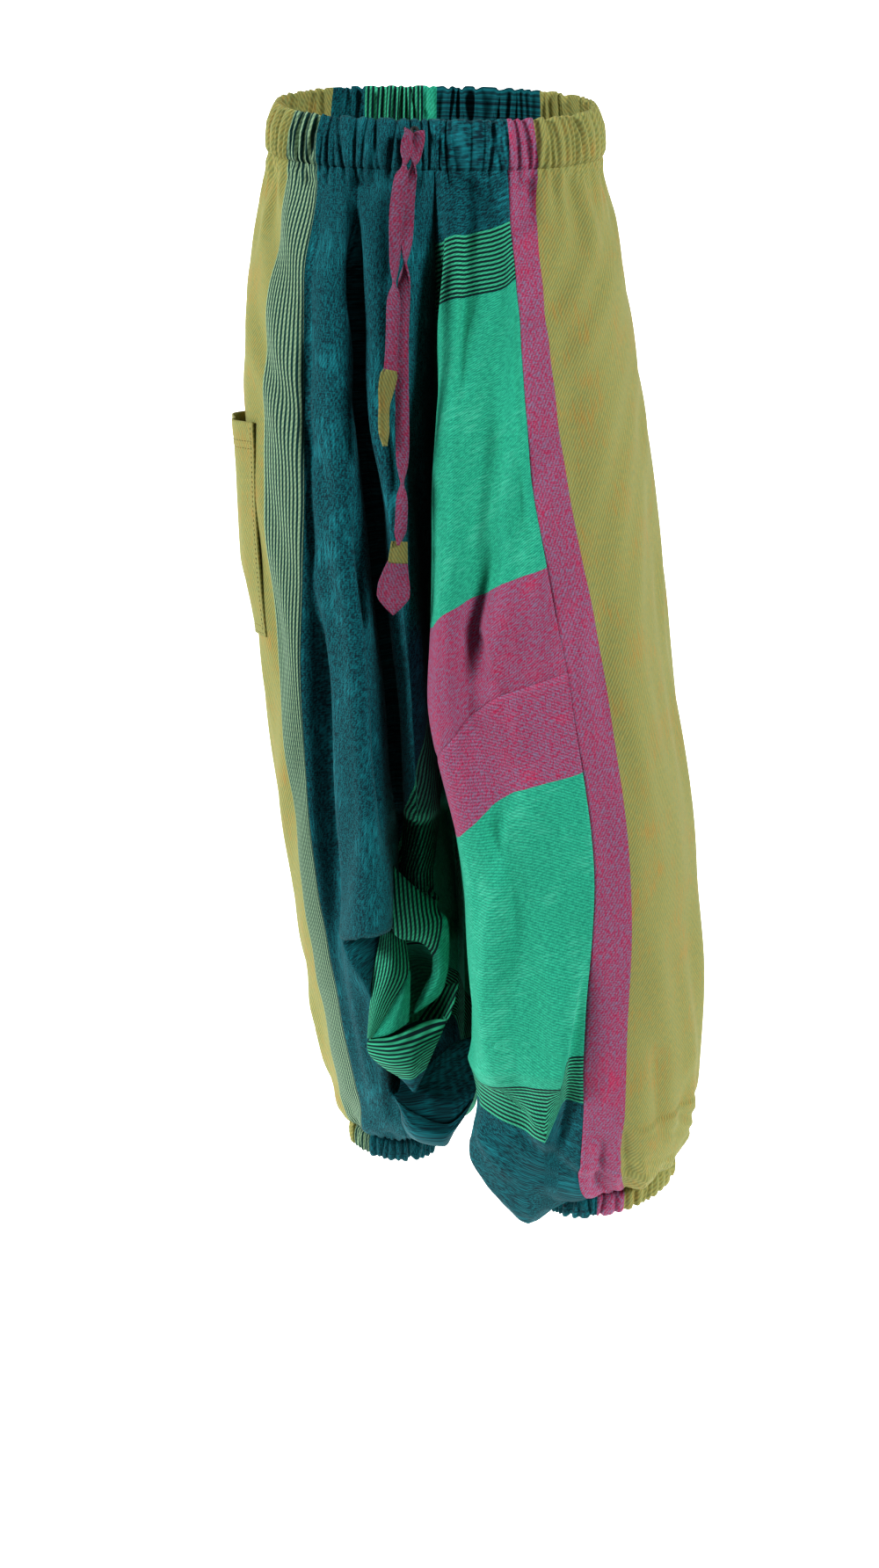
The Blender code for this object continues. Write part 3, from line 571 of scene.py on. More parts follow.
def leg_grid(side):
    """The plain leg: its columns' places, its rows, and its points, normals and distances."""
    last = last_crease(side)
    heights = np.linspace(-0.05, LEVELS[side][-1] + 0.02, 12)[:, None]
    widest = np.linalg.norm(np.diff(section(side, heights), axis=0), axis=-1).max(axis=(1, 2))
    places = []
    for i, width in enumerate(widest):
        count = max(3, int(np.ceil(width / COLUMN_STEP)))
        places += list(i + np.arange(count) / count)
    places = np.array(places + [float(last)])
    fine, plain = EDGE_ROW_STEP / ROW_HEIGHT, ROW_STEP / ROW_HEIGHT
    rows = np.concatenate([
        np.arange(0, FINE_ABOVE, fine), np.arange(FINE_ABOVE, HALF_ROWS, plain), [HALF_ROWS],
        np.arange(HALF_ROWS + plain, FINE_BELOW, plain),
        np.arange(FINE_BELOW, 2 * HALF_ROWS - fine / 2, fine), [2 * HALF_ROWS]])
    level = row_level(side, places, rows)
    points = surface(side, places, level)
    return {"side": side, "places": places, "rows": rows, "level": level, "points": points,
            "normals": normals_of(side, points), "across": run_of(points, 1),
            "down": run_of(points, 0)}


# ---------------------------------------------------------------- gathers, creases and folds

# Gathers of each elastic edge, finest first: seed, how far apart, how deep, how far they reach,
# where they end, the run over which they start, and the share of their depth they lift the cloth
GATHERS = {
    "waist": (
        (11, 0.0068, 0.0030, 0.11, 0.12, 0, 0),
        (42, 0.017, 0.0034, 0.16, 0.20, 0.012, 0),
        (44, 0.036, 0.0046, 0.25, 0.3125, 0.012, 0),
    ),
    "cuff": (
        (21, 0.0066, 0.0026, 0.075, 0.10, 0, 0),
        (72, 0.013, 0.0055, 0.06, 0.075, 0.02, 0.5),
        (73, 0.027, 0.0075, 0.11, 0.1375, 0.02, 0.5),
    ),
}
# Short, middling and long gathers, and how likely each is
REACH_SHARES, REACH_ODDS = (0.22, 0.45, 1.0), (0.45, 0.35, 0.2)
# How much gathers vary: shares of their depth, reach and spacing, and how much they lean; then
# their width as a share of their spacing, and how fast they widen on the way down
GATHER_DEPTHS, GATHER_REACHES, GATHER_STEPS, GATHER_LEAN = (0.55, 1.25), (0.8, 1.2), (0.6, 1.45), 0.09
GATHER_WIDTHS, GATHER_WIDENS = (0.20, 0.30), 0.11
GATHERS_CLEAR = 0.004        # of the middle seam and the inseam
# The swell beside each elastic edge: how high it is, the run over which it rises, where it ends
SWELLS, SWELL_REACH = {"waist": (0.0022, 0.008), "cuff": (0.0035, 0.010)}, 0.06
RIPPLES, RIPPLE_HEIGHT, RIPPLES_FADE = 16, 0.0013, 0.05
# The runs over which creases fade: below the waist, above the cuff, beside the inner seams
CREASES_FADE = (0.008, 0.014, 0.012)
SEAM_SINK, SEAM_WIDE = 0.0008, 0.0014

# The right leg's first ridge turns under: the height of its edge, how far the edge slants from
# one place over how many, how sharply it turns, its first and last place and their blur, and
# how far it stands out. The hollow below it: its first and last place, the height where it
# starts to narrow and how fast, the place where it stops, and how deep it is
FOLD_EDGE, FOLD_SLANT, FOLD_TURN = -0.629, (0.009, 6.8, 1.2), 0.004
FOLD_PLACES, FOLD_RISE = (5.2, 8.4, 0.8), 0.005
HOLLOW_PLACES, HOLLOW_NARROWS, HOLLOW_DEPTH = (5.0, 8.1), (-0.642, 0.046, 5.5), 0.036
# How far above and below the edge each fades: ridge and hollow, then the push down and up
FOLD_FADES, PUSH_FADES = (0.05, 0.055), (0.020, 0.012)
# Behind its low folds the cloth sinks back: lowest, highest, blur and depth; then x and blur
SUNK = ((-0.80, -0.642, 0.020, 0.036), (-0.655, -0.545, 0.028, 0.052))
SUNK_ACROSS = (-0.028, 0.030, 0.008)
SUNK_MOST, SUNK_END = 0.052, 6.2

# Creases set on each face: their line (across and up, cm), how high in mm (a trough is
# negative), and how wide in mm on either side of the line
CREASES = {
    RIGHT: {
        "front": (
            (((-8.6, -4), (-9.6, -12), (-9.9, -24)), -2.2, 5, 11),
            (((-7.6, -3), (-8.4, -13), (-8.8, -30), (-8.4, -46)), 2.4, 9, 6),
            (((-6.9, -30), (-6.4, -44), (-5.4, -60)), -1.5, 8, 8),
            (((-4.0, -4), (-4.4, -12), (-4.0, -26)), 2.0, 6, 8),
            (((-5.9, -5), (-5.7, -12), (-5.2, -22), (-4.4, -32)), -16, 4, 5),
            (((-5.0, -22), (-4.2, -33), (-3.3, -42), (-2.5, -58)), -26, 8, 8),
            (((-2.9, -4), (-3.1, -15), (-2.6, -30)), -1.8, 5, 8),
            (((-11.2, -5), (-12.2, -16), (-12.0, -30)), 1.6, 9, 9),
            (((-10.4, -40), (-10.2, -52), (-9.0, -66)), -1.5, 9, 12),
            (((-9.7, -14), (-9.4, -25), (-8.9, -37)), -5, 5, 4),
            (((-8.9, -33), (-8.3, -44), (-7.9, -53), (-7.0, -65)), -13, 6, 3.5),
            (((-7.2, -62), (-6.6, -70), (-5.8, -80)), 2.5, 8, 10),
            (((-5.4, -66), (-5.0, -74), (-3.4, -82)), -3.0, 6, 8),
            (((-3.0, -75), (-3.1, -80), (-2.6, -84)), -4.0, 4, 7),
        ),
        "right side": (
            (((-3.5, -42), (-1.5, -55), (2.5, -72)), -2.5, 12, 18),
            (((4.0, -14), (5.5, -30), (5.0, -48)), 2.4, 14, 12),
            (((8.0, -52), (9.0, -66), (8.5, -80)), -2.8, 9, 14),
            (((0.5, -70), (3.5, -78), (6.0, -84)), 2.6, 8, 10),
        ),
        "back": (
            (((-9.0, -8), (-8.4, -26), (-7.6, -44)), -2.6, 9, 12),
            (((-3.6, -10), (-4.2, -28), (-4.0, -52)), 2.6, 10, 9),
            (((-1.5, -48), (-1.0, -62), (-1.8, -76)), -3.0, 8, 12),
            (((-6.5, -60), (-5.6, -72), (-4.4, -83)), -3.0, 8, 10),
            (((2.0, -66), (0.5, -76), (-1.0, -84)), 3.0, 9, 8),
        ),
    },
    LEFT: {
        "front": (
            (((5.6, -6), (5.0, -16), (3.9, -27), (3.2, -38)), -2.6, 6, 12),
            (((2.7, -3), (2.6, -12), (2.0, -22)), -9.0, 7, 7),
            (((1.4, -5), (1.9, -15), (1.6, -28)), 1.8, 6, 9),
            (((5.9, -8), (6.2, -18), (6.9, -28), (8.0, -37)), -5.0, 13, 4),
            (((5.4, -32), (4.6, -39), (7.0, -48)), 5.5, 9, 14),
            (((4.6, -29), (3.4, -37), (5.8, -42), (6.4, -50)), -7.0, 9, 5),
            (((8.4, -46), (6.6, -53), (5.2, -60), (4.9, -68)), 6.5, 7, 22),
            (((12.6, -61), (11.3, -69.5), (10.9, -73.5), (10.2, -78.7), (9.5, -84)), 4.5, 20, 3),
            (((13.0, -62), (12.0, -69.5), (11.7, -73.5), (11.1, -78.7), (10.6, -83)), -6.5, 4, 8),
            (((6.2, -74.5), (8.0, -77.0), (9.6, -79.0)), 2.6, 5, 10),
            (((12.9, -74), (13.1, -79), (13.2, -84)), 3.6, 5, 6),
            (((14.6, -78), (14.4, -81), (14.7, -84.5)), -3.4, 3, 4),
            (((16.0, -76), (16.6, -81), (16.4, -85)), -4.2, 4, 6),
            (((17.6, -79), (17.9, -82), (17.4, -85)), 3.4, 4, 5),
            (((18.5, -69.8), (19.3, -75), (19.7, -80)), -3.6, 6, 9),
            (((22.6, -73.0), (21.8, -77), (20.5, -81.2)), -4.4, 6, 11),
            (((9.0, -8), (10.4, -18), (11.6, -30)), -1.6, 8, 12),
            (((14.0, -30), (16.6, -46), (17.6, -60)), 1.6, 14, 14),
        ),
        "left side": (
            (((-4.0, -14), (-5.5, -34), (-6.0, -52)), -1.8, 12, 16),
            (((2.0, -12), (1.0, -30), (-2.0, -50)), 2.4, 14, 12),
            (((-3.0, -58), (-5.0, -70), (-6.0, -80)), -3.2, 9, 14),
            (((-10.5, -62), (-9.5, -72), (-8.0, -82)), 2.4, 10, 9),
            (((4.0, -50), (1.5, -66), (-2.5, -80)), -2.6, 10, 14),
        ),
        "back": (
            (((5.0, -10), (6.6, -26), (7.6, -44)), -2.6, 10, 12),
            (((10.6, -12), (12.4, -30), (14.6, -48)), 2.6, 10, 12),
            (((9.0, -50), (11.0, -64), (13.5, -79)), -3.2, 9, 12),
            (((16.0, -56), (17.5, -68), (17.0, -80)), 2.6, 10, 10),
            (((6.5, -64), (9.5, -74), (12.5, -82)), 3.2, 9, 9),
        ),
    },
}
FACES = {"front": (0, 1, -1), "back": (0, 1, 1), "right side": (1, 0, -1), "left side": (1, 0, 1)}

# The left leg's inner corner where it hangs over the cuff, x, y and z in cm: places 1 to 5 from
# the inseam out, at each height of the plain form but the first and the last
SACK_LEVELS = (-0.735, -0.77, -0.80, -0.82, -0.834, -0.8405, -0.846)
SACK = (
    ((5.2, -4.6, -77.0), (4.6, -8.0, -77.9), (5.7, -10.9, -77.5), (8.1, -12.8, -77.0), (10.8, -13.9, -77.0)),
    ((5.4, -4.2, -80.5), (4.0, -8.4, -81.4), (5.4, -10.4, -81.2), (7.8, -11.6, -80.6), (10.5, -12.8, -80.2)),
    ((6.6, -4.8, -83.2), (4.7, -8.6, -83.8), (6.0, -9.9, -84.2), (8.1, -10.8, -83.8), (10.3, -11.7, -82.8)),
    ((8.6, -5.8, -85.4), (6.9, -8.6, -86.7), (7.9, -9.3, -87.0), (9.1, -9.9, -87.0), (10.6, -10.9, -84.8)),
    ((9.8, -6.4, -86.2), (8.9, -8.5, -87.9), (9.4, -8.9, -88.1), (10.0, -9.3, -87.7), (11.6, -10.5, -85.6)),
)


def gather_set(seed, turn, pitch, depth, reach):
    """The gathers of one elastic edge, each with its own place, depth, reach, lean and width."""
    random = np.random.default_rng(seed)
    made, at = [], pitch * 0.6
    while at < turn - pitch * 0.4:
        deep = depth * random.uniform(*GATHER_DEPTHS)
        share = random.choice(REACH_SHARES, p=REACH_ODDS)
        reaches = reach * share * random.uniform(*GATHER_REACHES)
        lean = random.normal(0, GATHER_LEAN)
        wide = pitch * random.uniform(*GATHER_WIDTHS)
        made.append({"at": at, "deep": deep, "reach": reaches, "lean": lean, "wide": wide})
        at += pitch * random.uniform(*GATHER_STEPS)
    return made


def gathered(gathers, around, below, turn):
    """How far the gathers sink the cloth, below their elastic or, at a negative depth, on it."""
    sunk = np.zeros(np.broadcast(around, below).shape)
    for g in gathers:
        wide = g["wide"] + GATHER_WIDENS * np.maximum(below, 0) + 0.01 * np.abs(below)
        aside = (around - g["at"] - g["lean"] * below) / wide
        sunk += g["deep"] * np.exp(-aside**2) * soft(1 - below / g["reach"])
    return sunk * soft(np.minimum(around, turn - around) / GATHERS_CLEAR)


def ripples(seed, leg):
    """The gentle unevenness of hanging cloth: many long shallow waves."""
    random = np.random.default_rng(seed)
    total = np.zeros_like(leg["level"])
    for _ in range(RIPPLES):
        wide, long = random.uniform(0.03, 0.09), random.uniform(0.12, 0.5) * random.choice((-1, 1))
        total += np.sin(2 * pi * (leg["across"] / wide + leg["down"] / long + random.uniform()))
    return RIPPLE_HEIGHT * total / RIPPLES**0.5


def crease(leg, face, line, height, left, right):
    """A soft ridge or trough along a line on one face, its two flanks of their own widths."""
    drawn_on, looks_along, sign = FACES[face]
    a, z = leg["points"][..., drawn_on], leg["points"][..., 2]
    facing = soft(1.6 * sign * leg["normals"][..., looks_along] - 0.1)
    line = np.array(line, float) * CM
    lengths = np.linalg.norm(np.diff(line, axis=0), axis=1)
    closest, place, aside = np.full(a.shape, np.inf), np.zeros_like(a), np.zeros_like(a)
    for start, end, length, before in zip(line, line[1:], lengths, np.cumsum(lengths) - lengths):
        step = end - start
        t = np.clip(((a - start[0]) * step[0] + (z - start[1]) * step[1]) / length**2, 0, 1)
        off_a, off_z = a - start[0] - t * step[0], z - start[1] - t * step[1]
        gap = np.hypot(off_a, off_z)
        closer = gap < closest
        closest = np.where(closer, gap, closest)
        place = np.where(closer, (before + t * length) / lengths.sum(), place)
        aside = np.where(closer, off_a, aside)
    wide = np.where(aside < 0, left, right) * MM
    ends = soft(3.5 * place) * soft(3.5 * (1 - place))
    return height * MM * np.exp(-((closest / wide) ** 2)) * ends * facing


def sack_shift(leg):
    """How far the left leg's inner corner hangs from its plain form."""
    at = np.arange(1, 6)
    plain = surface(LEFT, at.astype(float), np.array(SACK_LEVELS[1:-1])[:, None] + 0 * at[None, :])
    moves = np.zeros((len(SACK_LEVELS), 8, 3))
    moves[1:-1, 1:6] = np.array(SACK) * CM - plain
    moves[1:-1, 6] = 0.3 * moves[1:-1, 5]
    level = leg["level"][:, nearest(leg["places"], 3)]
    knots = np.array([along(SACK_LEVELS, moves[:, i, k], level)
                      for i in range(8) for k in range(3)]).reshape(8, 3, -1)
    places = np.clip(leg["places"], 0, 7)
    return np.stack([[along(np.arange(8), knots[:, k, j], places) for k in range(3)]
                     for j in range(len(leg["rows"]))]).transpose(0, 2, 1)


def gathered_edge(leg, edge, run):
    """How high one elastic edge's gathers and swell lift the cloth; its casing needs the finest."""
    around = leg["across"][:1] if edge == "waist" else leg["across"][-1:]
    turn = around[0, -1]
    sunk = np.zeros_like(run)
    for seed, pitch, depth, reach, end, start, lift in GATHERS[edge]:
        gathers = gather_set(seed + leg["side"], turn, pitch, depth, reach)
        leg.setdefault(edge + " gathers", gathers)
        near = run[:, 0] < end
        begun = soft(run[near] / start) if start else 1.0
        lifted = lift * depth * soft(1 - run[near] / end)
        sunk[near] += begun * (gathered(gathers, around, run[near], turn) - lifted)
    swell, rise = SWELLS[edge]
    return swell * soft(run / rise) * soft(1 - run / SWELL_REACH) - sunk


def seam_groove(off):
    """How far a seam pulls the cloth in, this far off its line."""
    return SEAM_SINK * np.exp(-((off / SEAM_WIDE) ** 2))


def right_folds(leg, places, above_cuff):
    """The fold turned under and its hollow: height added to the right leg, and its shift."""
    slant, slant_from, slant_over = FOLD_SLANT
    over = leg["level"] - FOLD_EDGE + slant * soft((places - slant_from) / slant_over)
    above = soft(over / FOLD_TURN + 0.5)
    first, last = HOLLOW_PLACES
    top, narrowing, narrowest = HOLLOW_NARROWS
    end = np.clip(last - (top - leg["level"]) / narrowing, narrowest, last)
    ridge = window(places, *FOLD_PLACES) * above
    hollow = soft((places - first) / 0.4) * soft((end - places) / 0.22 + 0.5) * (1 - above)
    height = ridge * FOLD_RISE * np.exp(-((over / FOLD_FADES[0]) ** 2))
    height -= hollow * HOLLOW_DEPTH * np.exp(-((over / FOLD_FADES[1]) ** 4))
    shift = np.zeros_like(leg["points"])
    shift[..., 2] -= ridge * FOLD_RISE * np.exp(-((over / PUSH_FADES[0]) ** 2))
    shift[..., 2] += hollow * 0.8 * FOLD_RISE * np.exp(-((over / PUSH_FADES[1]) ** 2))
    x, z = leg["points"][..., 0], leg["points"][..., 2]
    sunk = sum(window(z, *spans) * depth for *spans, depth in SUNK)
    shift[..., 1] += window(x, *SUNK_ACROSS) * np.minimum(sunk, SUNK_MOST) * (
        (places < SUNK_END) * soft(above_cuff / 0.03) * soft(leg["across"] / 0.012))
    return height, shift


def shape_leg(side):
    """The leg as it hangs: its plain form, gathered at both ends, creased and drooping."""
    leg = leg_grid(side)
    across, down, places = leg["across"], leg["down"], leg["places"][None, :]
    above = down[-1:] - down
    height = ripples(31 + side, leg) * soft(down / RIPPLES_FADE) * soft(above / RIPPLES_FADE)
    height += gathered_edge(leg, "waist", down) + gathered_edge(leg, "cuff", above)
    at_waist, at_cuff, at_seams = CREASES_FADE
    for face, rows in CREASES[side].items():
        for row in rows:
            height += crease(leg, face, *row) * soft(down / at_waist) * soft(above / at_cuff)
    for name in (SIDE_STARTS[side], BACK_STARTS):
        height -= seam_groove(across - across[:, leg["places"] == crease_number(side, name)])
    height *= soft(np.minimum(across, across[:, -1:] - across) / at_seams)
    if side == LEFT:
        cut = (leg["rows"] - HALF_ROWS)[:, None] * ROW_HEIGHT
        height -= seam_groove(cut) * window(places, 0, crease_number(LEFT, "strip inner"), 0.1)
        shift = sack_shift(leg)
    else:
        more, shift = right_folds(leg, places, above)
        height += more
    leg["points"] = leg["points"] + height[..., None] * leg["normals"] + shift
    return leg


# ---------------------------------------------------------------- where the stripes lie

# Right leg: the place of each stripe's edge at these heights
STRIPE_LEVELS = (-0.017, -0.26, -0.42, -0.47, -0.53, -0.60, -0.68, -0.74, -0.867)
RIGHT_EDGES = (
    ("green", (-0.6, -0.6, -0.5, -0.1, 0.9, 2.1, 2.1, -0.4, -0.6)),
    ("lined green", (-0.4, 0.5, 1.3, 2.0, 4.4, 5.3, 5.4, 1.6, 0.3)),
)
RIGHT_BACK_SEAM, LEFT_BACK_START = 20.6, 0.085
# Left front: where each band starts, its height at the fold edge and at the strip
LEFT_BANDS = {
    "left_front_upper": (
        ("lined green", -0.070, -0.054), ("green", -0.123, -0.100), ("magenta", -0.369, -0.320)),
    "left_front_lower": (
        ("magenta", -0.536, -0.479), ("green", -0.752, -0.712), ("lined green", -0.795, -0.750)),
}
# How much cloth there is before the first known edge and after the last one
RIGHT_ENDS, LEFT_ENDS = (0.2, 0.29), (0.15, 0.11)
# Near the left cuff: where the lined stripe starts and ends, and the slanted stripes beside a
# crease with the edge above them, x and z in cm; then the x and z where they stop
LOW_BAND_TOP = (
    (3.0, -74.8), (4.7, -75.3), (6.4, -74.9), (11.0, -73.8), (11.3, -71.3), (13.0, -71.1))
LOW_BAND_FOOT = (
    (3.0, -76.9), (4.7, -77.7), (10.0, -79.2), (10.7, -76.9), (11.2, -75.2), (13.0, -75.2))
SLANTED, SLANTED_UNDER = ((4.7, -77.7), (10.0, -79.2)), ((6.2, -74.9), (10.0, -78.3))
SLANTED_END, LOW_BANDS_BELOW = 10.2, -70.5


def right_stripes(leg):
    """Across the right leg: the stripes' edges lie on set creases, and in the low folds wander."""
    across, level, places = leg["across"], leg["level"], leg["places"]
    edges = [np.interp(-level, [-x for x in STRIPE_LEVELS], row) for _, row in RIGHT_EDGES]
    beyond = [np.minimum(edge[:, 0], 0) * CM for edge in edges] + [0 * level[:, 0]] * 2
    edges += [np.full_like(level, crease_number(RIGHT, "lined stripe " + end))
              for end in ("inner", "outer")]
    known = [STRIPE_START[name] for name in ("green", "lined green", "teal", "lined olive")]
    first, last = RIGHT_ENDS
    here = np.empty_like(across)
    for j in range(len(across)):
        runs = [np.interp(edge[j, len(places) // 8], places, across[j]) + more[j]
                for edge, more in zip(edges, beyond)]
        here[j] = np.interp(across[j], [runs[0] - first, *runs, runs[-1] + last],
                            [known[0] + first, *known, known[-1] - last])
    return here


def left_bands(leg, panel):
    """Down the left front: bands between the fold edge and the strip."""
    down, level, bands = leg["down"], leg["level"], LEFT_BANDS[panel]
    known = [STRIPE_START[name] for name, _, _ in bands]
    step = 1 if known[0] < known[1] else -1
    first, last = LEFT_ENDS
    here = np.empty_like(down)
    for i, place in enumerate(leg["places"]):
        share = (place - 2) / (crease_number(LEFT, "strip inner") - 2)
        runs = [np.interp(-(fold + (strip - fold) * share), -level[:, i], down[:, i])
                for _, fold, strip in bands]
        here[:, i] = np.interp(down[:, i], [runs[0] - first, *runs, runs[-1] + last],
                               [known[0] - first * step, *known, known[-1] + last * step])
    return here


def low_bands(leg, here):
    """The left front's bands near the cuff, where a crease sets them aslant on one side of it."""
    x, z = leg["points"][..., 0] / CM, leg["points"][..., 2] / CM
    top, foot, slanted, under = (np.interp(x, *zip(*line)) for line in (
        LOW_BAND_TOP, LOW_BAND_FOOT, SLANTED, SLANTED_UNDER))
    green, lined = STRIPE_START["green"], STRIPE_START["lined green"]
    low = np.where(z > top, green + (z - top) * CM, np.where(
        z < foot, lined + (z - foot) * CM, green + (z - top) / (top - foot) * (green - lined)))
    low = np.where((z < under) & (x < SLANTED_END) & (z < top),
                   lined + 0.9 * (z - slanted) * CM, low)
    return np.where(z < LOW_BANDS_BELOW, low, here)


def stripe_across(leg, panel):
    """The cloth coordinate across the stripes and the one along them, at every point of a leg."""
    across, down, places = leg["across"], leg["down"], leg["places"]
    if panel in ("right_front_panel", "right_side_panel"):
        return right_stripes(leg), down
    if panel == "right_back_panel":
        seam = np.array([np.interp(RIGHT_BACK_SEAM, places, row) for row in across])[:, None]
        return STRIPE_START["lined green"] + across - seam, down
    if panel == "left_side_panel":
        seam = nearest(places, crease_number(LEFT, "strip outer"))
        return REPEAT + across - across[:, [seam]], down
    if panel == "left_back_panel":
        return STRIPE_START["lined green"] + down - LEFT_BACK_START, across
    bands = left_bands(leg, panel)
    return low_bands(leg, bands) if panel == "left_front_lower" else bands, across


# ---------------------------------------------------------------- making meshes

def cloth_mesh(name, grids, material, thick=CLOTH_THICK, weld=False):
    """One object from grids of points with cloth coordinates; flip turns a grid's faces over."""
    points, faces, coords, first = [], [], [], 0
    for grid, x, y, flip in grids:
        rows, columns = grid.shape[:2]
        number = first + np.arange(rows * columns).reshape(rows, columns)
        corners = [number[:-1, :-1], number[:-1, 1:], number[1:, 1:], number[1:, :-1]]
        if flip:
            corners.reverse()
        faces.append(np.stack(corners, -1).reshape(-1, 4))
        points.append(grid.reshape(-1, 3))
        coords.append(np.stack([np.broadcast_to(part, (rows, columns)) for part in (x, y)],
                               -1).reshape(-1, 2))
        first += rows * columns
    points, faces, coords = (np.concatenate(part) for part in (points, faces, coords))
    made = mesh_object(name, points.tolist(), faces.tolist(), material)
    made.data.uv_layers.new(name="Cloth")
    flat = coords[faces.ravel()].astype(np.float32).ravel()
    made.data.uv_layers["Cloth"].data.foreach_set("uv", flat)
    if weld:
        with editing(made.data) as build:
            bmesh.ops.remove_doubles(build, verts=build.verts, dist=WELD)
    if thick:
        wall = made.modifiers.new("Cloth thickness", "SOLIDIFY")
        wall.thickness, wall.offset = thick, -1
        select_only(made)
        bpy.ops.object.modifier_apply(modifier=wall.name)
    return made


def select_only(made):
    bpy.ops.object.select_all(action="DESELECT")
    made.select_set(True)
    bpy.context.view_layer.objects.active = made


def place_piece(made, node):
    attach(made, "root")
    if node:
        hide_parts(node)
    return made


def span(values, start, end):
    """The slice of a leg's rows or columns from one place to another."""
    return slice(nearest(values, start), nearest(values, end) + 1)


def trim(points):
    """Draws a cut piece's edges back by half of its seam's gap."""
    points = points.copy()
    for near, far in (((slice(None), 0), (slice(None), 1)), ((slice(None), -1), (slice(None), -2)),
                      ((0,), (1,)), ((-1,), (-2,))):
        points[near] += unit(points[far] - points[near]) * SEAM_GAP / 2
    return points


def turn_in_seams(side, middle, points, normals, *values):
    """A panel with its seam allowance turned in along every edge, just past the next panel's.

    middle says whether its first and its last column lie on the middle seam.
    """
    for axis in (1, 0):
        ends = []
        for edge, inner, on_middle, inward in ((0, 1, middle[0], 1), (-1, -2, middle[1], -1)):
            line = points.take([edge], axis)
            out = unit(line - points.take([inner], axis))
            turned = line + SEAM_CROSS * out - SEAM_ALLOWANCE * normals.take([edge], axis)
            if axis == 1 and on_middle:
                # The two legs' allowances cross behind the middle seam
                crossed = line + (-side * SEAM_CROSS, inward * SEAM_ALLOWANCE, 0)
                turned = np.where(line[..., 2:] > CROTCH, crossed, turned)
            ends.append(turned)
        points = np.concatenate([ends[0], points, ends[1]], axis)
        normals, *values = (np.concatenate([v.take([0], axis), v, v.take([-1], axis)], axis)
                            for v in (normals, *values))
    return (points, *values)


def panels():
    """Each cut panel: its leg, its first and last crease, its first and last row, its slot."""
    right_side, left_side = crease_number(RIGHT, "deep gap"), crease_number(LEFT, "strip inner")
    right_back, left_back = (crease_number(side, BACK_STARTS) for side in (RIGHT, LEFT))
    whole, above, below = (0, 2 * HALF_ROWS), (0, HALF_ROWS), (HALF_ROWS, 2 * HALF_ROWS)
    return {
        "right_front_panel": (RIGHT, 0, right_side, whole, "striped_cotton_right"),
        "right_side_panel": (RIGHT, right_side, right_back, whole, "striped_cotton_right"),
        "right_back_panel": (RIGHT, right_back, last_crease(RIGHT), whole, "striped_cotton_right"),
        "left_front_upper": (LEFT, 0, left_side, above, "banded_cotton_left"),
        "left_front_lower": (LEFT, 0, left_side, below, "banded_cotton_left"),
        "left_side_panel": (LEFT, left_side, left_back, whole, "striped_cotton_left"),
        "left_back_panel": (LEFT, left_back, last_crease(LEFT), whole, "banded_cotton_left"),
    }


def build_panels(legs, cotton):
    made = {}
    for name, (side, start, end, (top, bottom), slot) in panels().items():
        leg = legs[side]
        part = span(leg["rows"], top, bottom), span(leg["places"], start, end)
        x, y = stripe_across(leg, name)
        leg[name] = x
        middle = (start == 0, end == last_crease(side))
        sewn = turn_in_seams(side, middle, trim(leg["points"][part]), leg["normals"][part],
                             x[part], y[part])
        grids = [(*sewn, side == LEFT)]
        if name == "right_front_panel":
            grids += low_folds()
        made[name] = place_piece(cloth_mesh(name, grids, cotton), name)
    return made


# ---------------------------------------------------------------- the right leg's low folds

